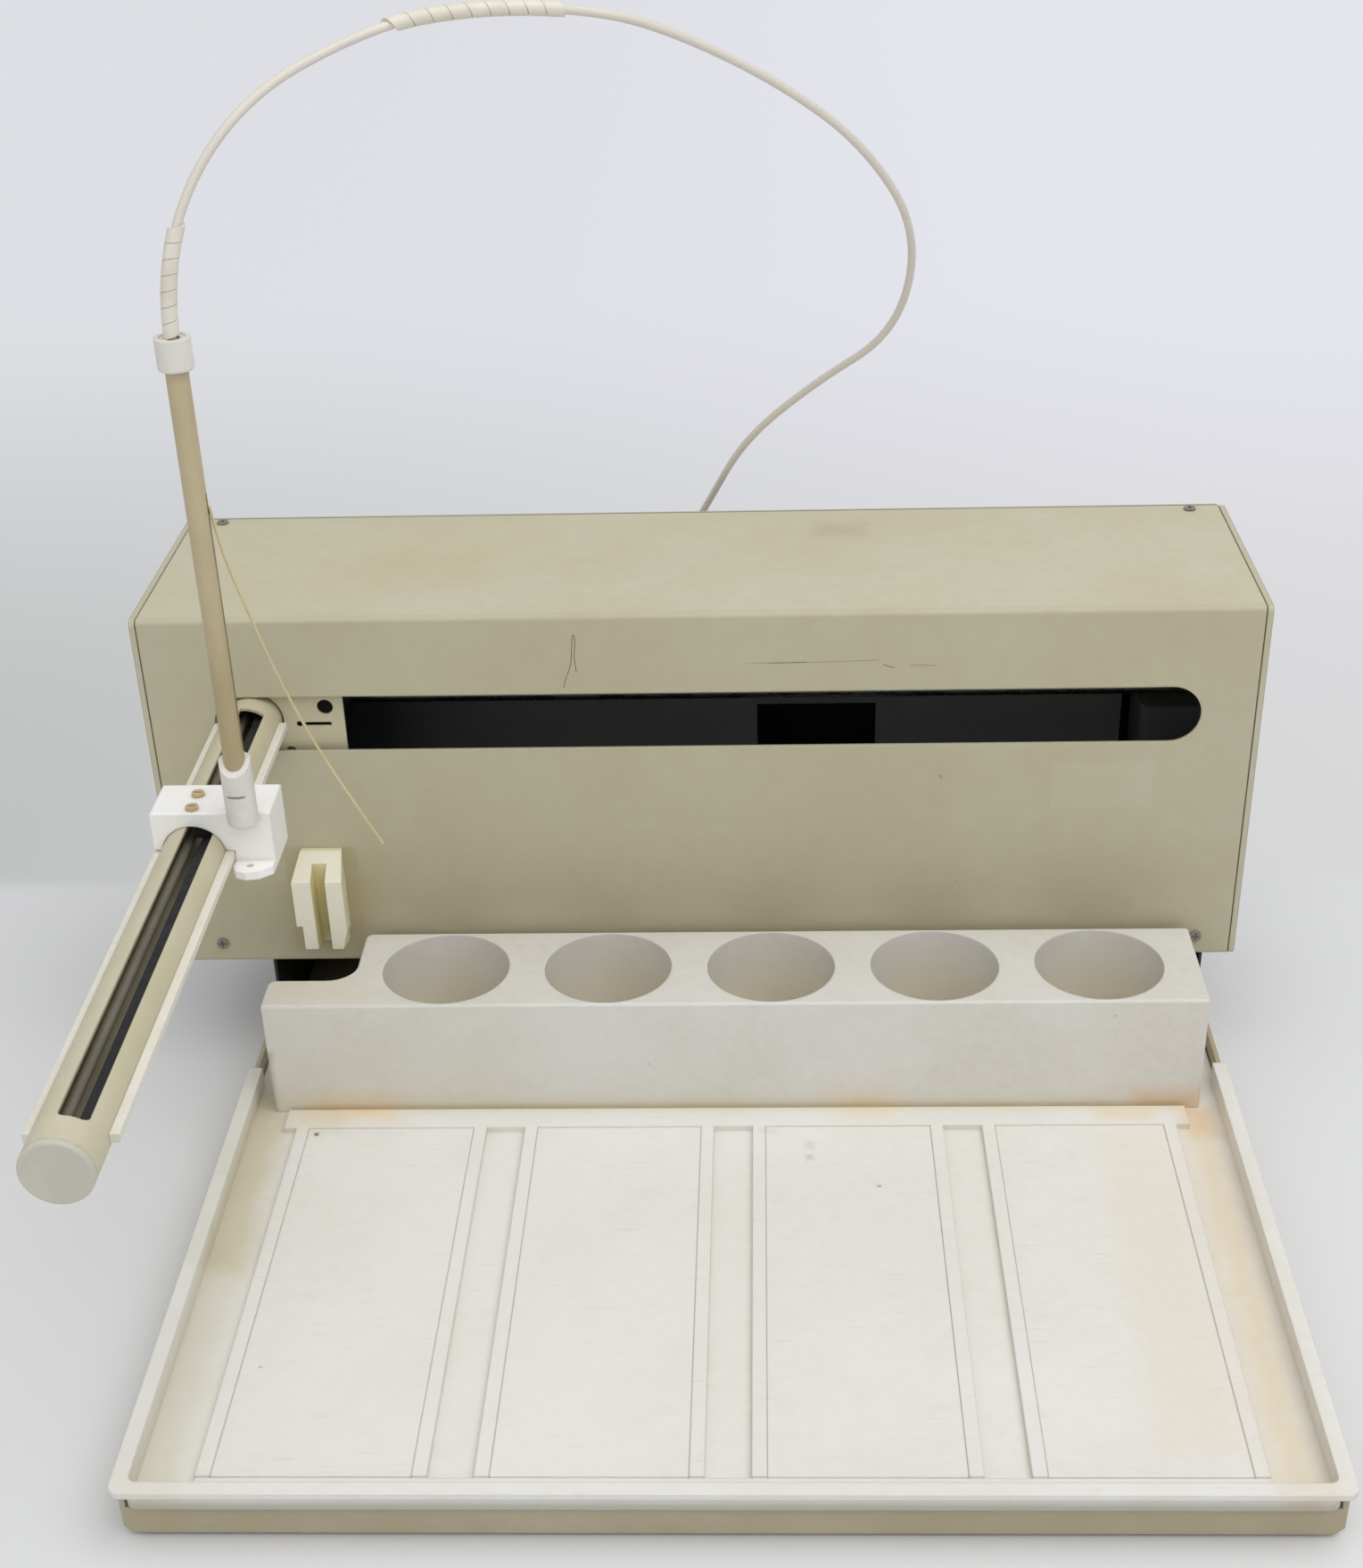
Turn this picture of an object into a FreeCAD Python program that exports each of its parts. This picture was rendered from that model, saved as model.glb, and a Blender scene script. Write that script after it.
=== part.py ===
"""Bench autosampler: a slotted housing whose sliding arm carries a vertical
sampling tube over a rack tray.  Millimetres, +X right, +Y back, +Z up.
The origin lies on the bench, under the middle of the instrument."""
import math
import os
import re

import FreeCAD
import Part
import Sketcher
from FreeCAD import Placement, Rotation, Vector

os.makedirs("parts", exist_ok=True)
doc = FreeCAD.newDocument("Autosampler")

# Driving sizes.  Everything below is worked out from these cells.
sheet = doc.addObject("Spreadsheet::Sheet", "dims")
sizes = [
    # housing
    ("house_half", "290"), ("plate_thick", "3"), ("seam_gap", "0.6"),
    ("house_depth", "142"), ("house_top", "276"), ("house_bottom", "70"),
    ("sheet_thick", "1.6"), ("front_y", "114"), ("bend_radius", "2.4"),
    ("slot_near", "37"), ("slot_far", "31"), ("slot_height", "216.6"),
    ("slot_radius", "15.7"), ("return_depth", "9"), ("screw_inset", "21"),
    ("screw_rise", "12"),
    # base pan and its pedestal
    ("base_shift", "16"), ("base_inset", "27.6"), ("base_reach", "354"),
    ("base_wall", "2.4"), ("base_top", "31"), ("flange_drop", "13.3"),
    ("foot_drop", "2.5"), ("foot_radius", "9"), ("rear_inset", "4"),
    # tray
    ("rim_over", "1.9"), ("rim_width", "7.4"), ("rim_ahead", "8.2"),
    ("rim_thick", "3"), ("rim_rear", "52"), ("tray_skin", "2.4"),
    ("tray_floor", "22"), ("strip_rise", "3.4"), ("strip_width", "6.5"),
    ("bay_drop", "0.4"), ("bay_seam", "0.35"), ("lip_drop", "1.1"),
    ("bay_pitch", "120.1"), ("pair_gap", "13.5"), ("strip_inset", "36.2"),
    ("strip_ahead", "11"), ("ledge_front", "94.8"), ("ledge_rear", "78.7"),
    ("ledge_inset", "26"),
    # standards block
    ("block_inset", "17.7"), ("block_front", "76.2"), ("block_rear", "5"),
    ("block_height", "68.4"), ("notch_width", "45.5"), ("notch_edge", "51"),
    ("notch_round", "15"), ("well_radius", "33.9"), ("well_pitch", "86.75"),
    ("well_row", "40.6"), ("first_well", "153"), ("well_sole", "6"),
    # arm, measured from the arm's own axis
    ("arm_inset", "56.3"), ("arm_radius", "15"), ("arm_wall", "1.6"),
    ("cap_reach", "376"), ("cap_depth", "12"), ("cap_radius", "15.8"),
    ("rail_stay", "22"), ("rail_side", "4"),
    ("arm_slot_half", "6"), ("arm_slot_offset", "4"), ("slot_stay", "17"),
    ("arm_slot_rear", "11"), ("arm_slot_round", "3"), ("arm_tail", "40"),
    ("run_gap", "0.3"), ("bush_gap", "0.05"),
    # slider
    ("slide_front", "136"), ("slide_depth", "28.5"), ("slide_rise", "22.4"),
    ("slide_drop", "7.1"), ("slide_left", "18.6"), ("slide_right", "38"),
    ("probe_offset", "26.7"), ("probe_ahead", "5"), ("guide_radius", "1.6"),
    ("tube_radius", "4.9"), ("tube_wall", "1"), ("tube_length", "194"),
    ("tube_sink", "8"), ("clip_radius", "7.3"), ("clip_sink", "3"),
    ("clip_rise", "31"), ("head_radius", "7.6"), ("head_over", "8.5"),
    ("head_height", "13.5"),
    ("rod_radius", "1.1"), ("rod_stay", "5"), ("rod_sink", "14"),
    # channel on the front panel
    ("rinse_inset", "70.4"), ("rinse_width", "27.1"), ("rinse_depth", "20"),
    ("rinse_foot", "86"), ("rinse_height", "56"), ("groove_inset", "10.3"),
    ("groove_width", "7.8"),
    # rear fittings
    ("inlet_inset", "90"), ("port_pitch", "63"), ("barb_inset", "140"),
    # dark screen behind the slot
    ("screen_gap", "1"), ("screen_thick", "1.2"), ("screen_inset", "9"),
    ("screen_top", "272"), ("window_left", "30"), ("window_right", "97"),
    ("window_low", "150"), ("window_high", "177"),
    # X drive inside the housing
    ("guide_rod", "4"), ("rod_depth", "60"), ("rod_under", "12.6"),
    ("rod_over", "12.4"), ("rod_inset", "6"), ("bracket_thick", "8"),
    ("belt_depth", "88"), ("pulley_radius", "8"), ("belt_thick", "1.4"),
    ("belt_under", "19.6"), ("belt_width", "9"), ("drive_inset", "28"),
    ("idle_inset", "22"), ("motor_side", "42"), ("motor_under", "9"),
    ("motor_height", "40"),
    # Y drive inside the arm
    ("small_pulley", "6"), ("y_belt_width", "5"), ("y_belt_offset", "4"),
    ("axle_stay", "14"), ("y_rear_axle", "28"), ("small_motor", "28"),
]
for row, (name, text) in enumerate(sizes, start=1):
    sheet.set("A%d" % row, name)
    sheet.set("B%d" % row, text)
    sheet.setAlias("B%d" % row, name)
doc.recompute()


# Places and sizes that follow others, each from one size and one clearance.
follows = {
    "slot_left": "(house_half - slot_near)",
    "slot_right": "(house_half - slot_far)",
    "base_half": "(house_half - base_inset)",
    "flange_top": "(base_top - flange_drop)",
    "rim_half": "(base_half + rim_over)",
    "rim_top": "(base_top + rim_thick)",
    "rim_reach": "(base_reach + rim_ahead)",
    "side_strip": "(rim_half - strip_inset)",
    "strip_front": "(base_reach - strip_ahead)",
    "ledge_half": "(rim_half - ledge_inset)",
    "block_half": "(rim_half - block_inset)",
    "block_top": "(tray_floor + block_height)",
    "well_floor": "(tray_floor + well_sole)",
    "arm_left": "(house_half - arm_inset)",
    "rail_reach": "(cap_reach - rail_stay)",
    "arm_slot_front": "(cap_reach - slot_stay)",
    "y_front_axle": "(cap_reach - axle_stay)",
    "slide_top": "(slot_height + slide_rise)",
    "slide_bottom": "(slot_height - slide_drop)",
    "clip_foot": "(slide_top - clip_sink)",
    "clip_top": "(slide_top + clip_rise)",
    "tube_foot": "(clip_top - tube_sink)",
    "tube_top": "(tube_foot + tube_length)",
    "head_top": "(tube_top + head_over)",
    "rod_tip": "(clip_foot + rod_stay)",
    "rod_head": "(tube_top - rod_sink)",
    "rod_low": "(slot_height - rod_under)",
    "rod_high": "(slot_height + rod_over)",
    "rod_end": "(house_half - rod_inset)",
    "belt_low": "(slot_height - belt_under)",
    "motor_top": "(belt_low - motor_under)",
    "drive_x": "(house_half - drive_inset)",
    "idle_x": "(house_half - idle_inset)",
    "rinse_left": "(house_half - rinse_inset)",
    "rinse_right": "(rinse_left - rinse_width)",
    "rinse_top": "(rinse_foot + rinse_height)",
    "groove_left": "(rinse_left - groove_inset)",
    "groove_right": "(groove_left - groove_width)",
    "screen_depth":
        "(belt_depth + pulley_radius + belt_thick + screen_gap)",
    "screen_side": "(house_half - screen_inset)",
    "inlet_x": "(house_half - inlet_inset)",
    "port_x": "(inlet_x - port_pitch)",
    "barb_x": "(house_half - barb_inset)",
}
word = re.compile(r"\b[a-z]+(?:_[a-z]+)+\b")


def spelled(text):
    """The expression with every following size written out."""
    text = str(text)
    while any(name in follows for name in word.findall(text)):
        text = word.sub(lambda m: follows.get(m.group(), m.group()), text)
    return text


def bound(text):
    """The expression as another object writes it, with the sheet named."""
    return word.sub(r"dims.\g<0>", spelled(text))


def number(text):
    """The expression's value now, in millimetres."""
    value = sheet.evalExpression(spelled(text))
    return float(getattr(value, "Value", value))


def new_body(name):
    body = doc.addObject("PartDesign::Body", name)
    body.Label = name
    return body


def origin_plane(body, role):
    for feature in body.Origin.OriginFeatures:
        if feature.Role == role:
            return feature
    raise RuntimeError("no plane " + role)


def rule(*values):
    return Sketcher.Constraint(*values)


def fix_point(sketch, index, end, across, up):
    for kind, text in (("DistanceX", across), ("DistanceY", up)):
        mark = sketch.addConstraint(
            rule(kind, -1, 1, index, end, number(text)))
        sketch.setExpression("Constraints[%d]" % mark, bound(text))


def draw_polygon(sketch, points):
    spots = [Vector(number(p[0]), number(p[1]), 0) for p in points]
    first = sketch.GeometryCount
    count = len(spots)
    for i in range(count):
        line = Part.LineSegment(spots[i], spots[(i + 1) % count])
        sketch.addGeometry(line, False)
    for i in range(count):
        after = first + (i + 1) % count
        sketch.addConstraint(rule("Coincident", first + i, 2, after, 1))
    for i in range(count):
        fix_point(sketch, first + i, 1, points[i][0], points[i][1])


def draw_circle(sketch, across, up, radius):
    centre = Vector(number(across), number(up), 0)
    circle = Part.Circle(centre, Vector(0, 0, 1), number(radius))
    index = sketch.addGeometry(circle, False)
    fix_point(sketch, index, 3, across, up)
    mark = sketch.addConstraint(
        rule("Radius", index, number(radius)))
    sketch.setExpression("Constraints[%d]" % mark, bound(radius))


def draw_slot(sketch, left, right, up, radius):
    """A slot with round ends along the sketch's first axis."""
    xa, xb, yc, r = number(left), number(right), number(up), number(radius)
    ends = (Vector(xa, yc, 0), Vector(xb, yc, 0))
    axis = Vector(0, 0, 1)
    first = sketch.addGeometry(Part.LineSegment(
        Vector(xa, yc + r, 0), Vector(xb, yc + r, 0)), False)
    sketch.addGeometry(Part.ArcOfCircle(
        Part.Circle(ends[1], axis, r), -math.pi / 2, math.pi / 2), False)
    sketch.addGeometry(Part.LineSegment(
        Vector(xb, yc - r, 0), Vector(xa, yc - r, 0)), False)
    sketch.addGeometry(Part.ArcOfCircle(
        Part.Circle(ends[0], axis, r), math.pi / 2, 3 * math.pi / 2), False)
    for pair in ((0, 2, 1, 2), (1, 1, 2, 1), (2, 2, 3, 2), (3, 1, 0, 1)):
        sketch.addConstraint(rule(
            "Tangent", first + pair[0], pair[1], first + pair[2], pair[3]))
    fix_point(sketch, first + 1, 3, right, up)
    fix_point(sketch, first + 3, 3, left, up)
    mark = sketch.addConstraint(rule("Radius", first + 1, r))
    sketch.setExpression("Constraints[%d]" % mark, bound(radius))


def box_of(left, right, low, high):
    return [(left, low), (right, low), (right, high), (left, high)]


def draw(sketch, shapes):
    for shape in shapes:
        if isinstance(shape, list):
            draw_polygon(sketch, shape)
        elif len(shape) == 3:
            draw_circle(sketch, *shape)
        else:
            draw_slot(sketch, *shape)


def new_sketch(body, plane, start, shapes):
    """A sketch on one of the body's own planes, moved along its normal."""
    sketch = body.newObject("Sketcher::SketchObject", body.Name + "_sketch")
    sketch.AttachmentSupport = [(origin_plane(body, plane), "")]
    sketch.MapMode = "FlatFace"
    sign = "-1 * " if plane == "XZ_Plane" else ""
    text = sign + "(" + str(start) + ")"
    sketch.AttachmentOffset = Placement(Vector(0, 0, number(text)), Rotation())
    sketch.setExpression("AttachmentOffset.Base.z", bound(text))
    draw(sketch, shapes)
    return sketch


def grow(body, kind, plane, low, high, shapes):
    """Pad or pocket the shapes between two heights along the plane's axis."""
    start = high if plane == "XZ_Plane" else low
    sketch = new_sketch(body, plane, start, shapes)
    feature = body.newObject("PartDesign::" + kind, body.Name + "_" + kind)
    feature.Profile = sketch
    length = "(" + str(high) + ") - (" + str(low) + ")"
    feature.Length = number(length)
    feature.setExpression("Length", bound(length))
    feature.Reversed = kind == "Pocket"
    body.Tip = feature
    doc.recompute()
    return feature


def pad(body, plane, low, high, *shapes):
    return grow(body, "Pad", plane, low, high, shapes)


def cut(body, plane, low, high, *shapes):
    return grow(body, "Pocket", plane, low, high, shapes)


def along(axis, edge):
    if len(edge.Vertexes) != 2 or edge.Curve.TypeId != "Part::GeomLine":
        return False
    a, b = edge.Vertexes[0].Point, edge.Vertexes[1].Point
    way = b - a
    return abs(getattr(way, axis)) > 0.999 * way.Length


def near(edge, **wanted):
    """True where the edge's middle lies on the named coordinates."""
    middle = edge.BoundBox.Center
    return all(abs(getattr(middle, key) - number(text)) < 0.2
               for key, text in wanted.items())


def soften(body, size, test, kind="Fillet"):
    """Round or chamfer the edges of the body's tip that pass the test."""
    base = body.Tip
    edges = ["Edge%d" % (i + 1) for i, edge in enumerate(base.Shape.Edges)
             if test(edge)]
    feature = body.newObject("PartDesign::" + kind, body.Name + "_" + kind)
    feature.Base = (base, edges)
    key = "Radius" if kind == "Fillet" else "Size"
    setattr(feature, key, number(size))
    feature.setExpression(key, bound(size))
    body.Tip = feature
    doc.recompute()
    return feature


def cylinder(name, radius, length, axis, where):
    """A Part cylinder from a point along X, Y or Z."""
    part = doc.addObject("Part::Cylinder", name)
    part.Radius = number(radius)
    part.Height = number(length)
    part.setExpression("Radius", bound(radius))
    part.setExpression("Height", bound(length))
    turns = {"x": Rotation(Vector(0, 1, 0), 90),
             "y": Rotation(Vector(1, 0, 0), -90), "z": Rotation()}
    part.Placement = Placement(
        Vector(*[number(text) for text in where]), turns[axis])
    for key, text in zip("xyz", where):
        part.setExpression("Placement.Base." + key, bound(text))
    return part


def block(name, low, high):
    """A Part box between two corners."""
    part = doc.addObject("Part::Box", name)
    part.Placement = Placement(Vector(*[number(t) for t in low]), Rotation())
    for key, prop, start, end in zip("xyz", ("Length", "Width", "Height"),
                                     low, high):
        size = "(" + str(end) + ") - (" + str(start) + ")"
        part.setExpression("Placement.Base." + key, bound(start))
        part.setExpression(prop, bound(size))
    return part


def joined(name, pieces, kind="Part::MultiFuse"):
    part = doc.addObject(kind, name)
    if kind == "Part::Compound":
        part.Links = pieces
    else:
        part.Shapes = pieces
    part.Label = name
    doc.recompute()
    return part


def less(name, base, tool):
    part = doc.addObject("Part::Cut", name)
    part.Base = base
    part.Tool = tool
    part.Label = name
    doc.recompute()
    return part


nodes = {}


def keep(name, part):
    part.Label = name
    nodes[name] = part


# Words used by several pieces.
rear_y = "front_y + house_depth"
cover_half = "(house_half - plate_thick - seam_gap)"
pan_left = "base_shift - base_half"
pan_right = "base_shift + base_half"
pan_front = "front_y - base_reach"
pan_rear = "front_y + house_depth - rear_inset"
arm_axis = "-arm_left"
arm_level = "slot_height"


def make_base_pan():
    body = new_body("base_pan")
    pad(body, "XY_Plane", "foot_drop", "base_top",
        box_of(pan_left, pan_right, pan_front, pan_rear))
    inner = box_of(pan_left + " + base_wall", pan_right + " - base_wall",
                   pan_front + " + base_wall", pan_rear + " - base_wall")
    cut(body, "XY_Plane", "foot_drop + base_wall", "base_top", inner)
    cut(body, "XZ_Plane", pan_front, pan_front + " + base_wall",
        box_of(pan_left + " + base_wall", pan_right + " - base_wall",
               "flange_top", "base_top + 1"))
    soften(body, "4", lambda e: along("y", e) and near(e, z="foot_drop"),
           "Chamfer")
    keep("base_pan", body)


def make_feet():
    pads = []
    for i, side in enumerate((pan_left + " + 30", pan_right + " - 30")):
        for j, depth in enumerate((pan_front + " + 30", pan_rear + " - 30")):
            pads.append(cylinder("foot_%d%d" % (i, j), "foot_radius",
                                 "foot_drop", "z", (side, depth, "0")))
    keep("rubber_feet", joined("rubber_feet", pads, "Part::Compound"))


def make_pedestal():
    body = new_body("pedestal")
    left = pan_left + " + base_wall + 0.4"
    right = pan_right + " - base_wall - 0.4"
    front = "front_y + 12"
    rear = pan_rear + " - base_wall - 0.4"
    floor = "foot_drop + base_wall"
    pad(body, "XY_Plane", floor, "house_bottom", box_of(left, right, front, rear))
    cut(body, "XZ_Plane", "front_y", rear + " - sheet_thick",
        box_of(left + " + sheet_thick", right + " - sheet_thick",
               floor + " - 1", "house_bottom - sheet_thick"))
    keep("pedestal", body)


def make_tray():
    body = new_body("sample_tray")
    rim_left = "base_shift - rim_half"
    rim_right = "base_shift + rim_half"
    rim_front = "front_y - rim_reach"
    tub = "(rim_half - rim_width + tray_skin)"
    tub_front = "front_y - rim_reach + rim_width - tray_skin"
    back = "front_y - block_rear + 1"
    side_end = "front_y - rim_rear"
    pad(body, "XY_Plane", "base_top", "rim_top",
        box_of(rim_left, rim_right, rim_front, side_end))
    pad(body, "XY_Plane", "tray_floor - tray_skin", "base_top",
        box_of("base_shift - " + tub, "base_shift + " + tub, tub_front,
               side_end))
    soften(body, "6", lambda e: along("z", e) and near(e, y=tub_front))
    soften(body, "6", lambda e: along("z", e) and near(e, y=rim_front))
    inner_left = rim_left + " + rim_width"
    inner_right = rim_right + " - rim_width"
    inner_front = rim_front + " + rim_width"
    cut(body, "XY_Plane", "tray_floor", "rim_top + 1",
        box_of(inner_left, inner_right, inner_front, side_end + " + 1"))
    soften(body, "4", lambda e: along("z", e) and near(e, y=inner_front))
    pad(body, "XY_Plane", "tray_floor - tray_skin", "tray_floor",
        box_of("base_shift - " + tub, "base_shift + " + tub,
               side_end + " - 1", back))
    middles = ["base_shift - side_strip", "base_shift + side_strip"]
    for pair in (-1, 0, 1):
        for side in (-1, 1):
            middles.append("base_shift + %d * bay_pitch + %d * pair_gap"
                           % (pair, side))
    strips = [box_of(x + " - strip_width / 2", x + " + strip_width / 2",
                     "front_y - strip_front", "front_y - ledge_front - 0.01")
              for x in middles]
    ledge = box_of("base_shift - ledge_half", "base_shift + ledge_half",
                   "front_y - ledge_front", "front_y - ledge_rear")
    pad(body, "XY_Plane", "tray_floor - 0.5", "tray_floor + strip_rise", *strips)
    pad(body, "XY_Plane", "tray_floor - 0.5", "tray_floor + strip_rise", ledge)
    # seats for the racks, a seam's width from the strips and the ledge
    middles.sort(key=number)
    seats = [box_of(middles[i] + " + strip_width / 2 + bay_seam",
                    middles[i + 1] + " - strip_width / 2 - bay_seam",
                    "front_y - strip_front",
                    "front_y - ledge_front - bay_seam")
             for i in (0, 2, 4, 6)]
    pad(body, "XY_Plane", "tray_floor - 0.5",
        "tray_floor + strip_rise - bay_drop", *seats)
    lip = box_of(middles[0] + " - strip_width / 2",
                 middles[-1] + " + strip_width / 2", inner_front + " - 1",
                 "front_y - strip_front")
    pad(body, "XY_Plane", "tray_floor - 0.5",
        "tray_floor + strip_rise - lip_drop", lip)
    cut(body, "XY_Plane", "tray_floor - tray_skin - 1",
        "tray_floor + strip_rise + 1",
        ("base_shift - side_strip + 8", "front_y - ledge_front - 5", "1.2"))
    keep("sample_tray", body)


def make_standards_block():
    body = new_body("standards_block")
    left = "base_shift - block_half"
    right = "base_shift + block_half"
    front = "front_y - block_front"
    rear = "front_y - block_rear"
    step = left + " + notch_width"
    ledge = "front_y - notch_edge"
    pad(body, "XY_Plane", "tray_floor", "block_top",
        [(left, front), (right, front), (right, rear), (step, rear),
         (step, ledge), (left, ledge)])
    soften(body, "notch_round",
           lambda e: along("z", e) and near(e, x=step, y=ledge))
    soften(body, "4", lambda e: along("z", e) and
           (near(e, x=left, y=ledge) or near(e, x=step, y=rear)))
    soften(body, "1.5", lambda e: along("z", e) and
           (near(e, y=front) or near(e, x=right, y=rear)))
    wells = [("base_shift - first_well + %d * well_pitch" % i,
              "front_y - well_row", "well_radius") for i in range(5)]
    cut(body, "XY_Plane", "well_floor", "block_top + 1", *wells)
    soften(body, "1", lambda e: near(e, z="block_top") and along("x", e) and
           near(e, y=front), "Chamfer")
    keep("standards_block", body)


def make_cover():
    body = new_body("housing_cover")
    top = "house_top"
    back = rear_y + " - sheet_thick - 0.3"
    front = "front_y"
    thick = "sheet_thick"
    pad(body, "YZ_Plane", "-" + cover_half, cover_half,
        [(front, "house_bottom"), (front + " + return_depth", "house_bottom"),
         (front + " + return_depth", "house_bottom + " + thick),
         (front + " + " + thick, "house_bottom + " + thick),
         (front + " + " + thick, top + " - " + thick),
         (back, top + " - " + thick), (back, top), (front, top)])
    soften(body, "bend_radius", lambda e: along("x", e) and
           (near(e, y=front, z=top) or near(e, y=front, z="house_bottom")))
    cut(body, "XZ_Plane", "front_y - 1", "front_y + 3",
        ("-slot_left + slot_radius", "slot_right - slot_radius",
         "slot_height", "slot_radius"))
    keep("housing_cover", body)


def make_side_plates():
    for name, low, high in (
            ("left_side_plate", "-house_half", "plate_thick - house_half"),
            ("right_side_plate", "house_half - plate_thick", "house_half")):
        body = new_body(name)
        pad(body, "YZ_Plane", low, high,
            box_of("front_y", rear_y, "house_bottom", "house_top"))
        soften(body, "3", lambda e: along("x", e) and
               not (near(e, y=rear_y) and near(e, z="house_bottom")))
        keep(name, body)


def make_rear_panel():
    body = new_body("rear_panel")
    low = rear_y + " - sheet_thick"
    pad(body, "XZ_Plane", low, rear_y,
        box_of("-" + cover_half, cover_half, "house_bottom", "house_top"))
    cut(body, "XZ_Plane", low + " - 1", rear_y + " + 1",
        box_of("inlet_x - 14", "inlet_x + 14", "92", "140"),
        box_of("port_x - 17", "port_x + 17", "100", "112"),
        box_of("port_x - 17", "port_x + 17", "124", "136"),
        ("-30", "192", "6"), ("-barb_x", "110", "5"),
        ("-barb_x - 30", "110", "5"))
    cut(body, "XZ_Plane", low + " - 1", rear_y + " + 1",
        *[("%d" % left, "%d" % (left + 24), "house_top - 30", "1.6")
          for left in range(-130, 150, 34)])
    keep("rear_panel", body)


def make_floor_plate():
    body = new_body("floor_plate")
    pad(body, "XY_Plane", "house_bottom", "house_bottom + sheet_thick",
        box_of("-" + cover_half, cover_half,
               "front_y + return_depth + 0.4", rear_y + " - sheet_thick"))
    keep("floor_plate", body)


def screw(name, axis, spot, way, head, depth):
    """A cross-recessed pan head screw whose head stands on the spot."""
    places = dict(zip("xyz", spot))
    start = dict(places)
    start[axis] = places[axis] + (" - " + head if way < 0 else "")
    top = cylinder(name + "_head", "3.2", head, axis,
                   [start[k] for k in "xyz"])
    shank_start = dict(places)
    shank_start[axis] = places[axis] + (" - " + depth if way > 0 else "")
    shank = cylinder(name + "_shank", "1.5", depth, axis,
                     [shank_start[k] for k in "xyz"])
    whole = joined(name + "_blank", [top, shank])
    bars = []
    for i in range(2):
        low, high = {}, {}
        others = [k for k in "xyz" if k != axis]
        for j, key in enumerate(others):
            reach = "2" if i == j else "0.45"
            low[key] = places[key] + " - " + reach
            high[key] = places[key] + " + " + reach
        if way > 0:
            low[axis] = places[axis] + " + " + head + " - 0.7"
            high[axis] = places[axis] + " + " + head + " + 1"
        else:
            low[axis] = places[axis] + " - " + head + " - 1"
            high[axis] = places[axis] + " - " + head + " + 0.7"
        bars.append(block(name + "_bar%d" % i, [low[k] for k in "xyz"],
                          [high[k] for k in "xyz"]))
    return less(name, whole, joined(name + "_cross", bars))


def make_housing_screws():
    screws = []
    left = "screw_inset - house_half"
    right = "house_half - screw_inset"
    low = "house_bottom + screw_rise"
    high = "house_top - screw_rise - 14"
    for i, side in enumerate((left + " + 2", right + " - 1")):
        spot = (side, "front_y", low)
        screws.append(screw("front_screw_%d" % i, "y", spot, -1, "1.2", "6"))
    for i, side in enumerate((left, right + " + 1")):
        spot = (side, rear_y + " - 8", "house_top")
        screws.append(screw("top_screw_%d" % i, "z", spot, 1, "1.2", "6"))
    corners = [(left + " - 1", low + " + 2"), (right + " + 1", low + " + 2"),
               (left + " - 1", high), (right + " + 1", high)]
    for i, (across, up) in enumerate(corners):
        screws.append(screw("rear_screw_%d" % i, "y", (across, rear_y, up), 1,
                            "1.2", "6"))
    holder = joined("housing_screws", screws, "Part::Compound")
    keep("housing_screws", holder)
    # clearance holes are the shanks' own size plus a gap
    for name, axis in (("housing_cover", "y"), ("housing_cover", "z"),
                       ("rear_panel", "y")):
        body = nodes[name]
        if name == "rear_panel":
            cut(body, "XZ_Plane", rear_y + " - 8", rear_y + " + 1",
                *[(across, up, "1.8") for across, up in corners])
        elif axis == "y":
            cut(body, "XZ_Plane", "front_y - 1", "front_y + 3",
                (left + " + 2", low, "1.8"), (right + " - 1", low, "1.8"))
        else:
            cut(body, "XY_Plane", "house_top - 3", "house_top + 1",
                (left, rear_y + " - 8", "1.8"),
                (right + " + 1", rear_y + " - 8", "1.8"))


def make_rinse_bracket():
    """The cream channel on the front panel that guides the probe's rinse."""
    body = new_body("rinse_bracket")
    wall = "front_y - rinse_depth"
    ahead = wall + " - 1"
    below = "rinse_foot - 1"
    above = "rinse_top + 1"
    pad(body, "XY_Plane", "rinse_foot", "rinse_top",
        [("-rinse_left", wall), ("-rinse_right", wall),
         ("-rinse_right - 2", "front_y - 0.01"),
         ("3.6 - rinse_left", "front_y - 0.01")])
    # roof falling to the front, and the feet's rising underside
    cut(body, "YZ_Plane", "-rinse_left - 2", "2 - rinse_right",
        [(ahead, above), (ahead, "rinse_top - 10.6"),
         ("front_y - 1.5", above)],
        [(ahead, below), ("front_y - 1.5", below),
         (ahead, "rinse_foot + 4.3")])
    # groove, deeper towards its foot
    cut(body, "YZ_Plane", "-groove_left", "-groove_right",
        [(ahead, above), ("front_y - 10.5", above),
         ("front_y - 4", "rinse_foot + 4"), ("front_y - 4", below),
         (ahead, below)])
    cut(body, "XZ_Plane", ahead, "front_y + 1",
        box_of("-rinse_left - 1", "3.3 - rinse_left", below,
               "rinse_foot + 18.6"),
        [("1 - rinse_right", "rinse_foot + 20"),
         ("-rinse_right - 2.9", "rinse_foot + 4"),
         ("-rinse_right - 2.9", below), ("1 - rinse_right", below)])
    keep("rinse_bracket", body)


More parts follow.
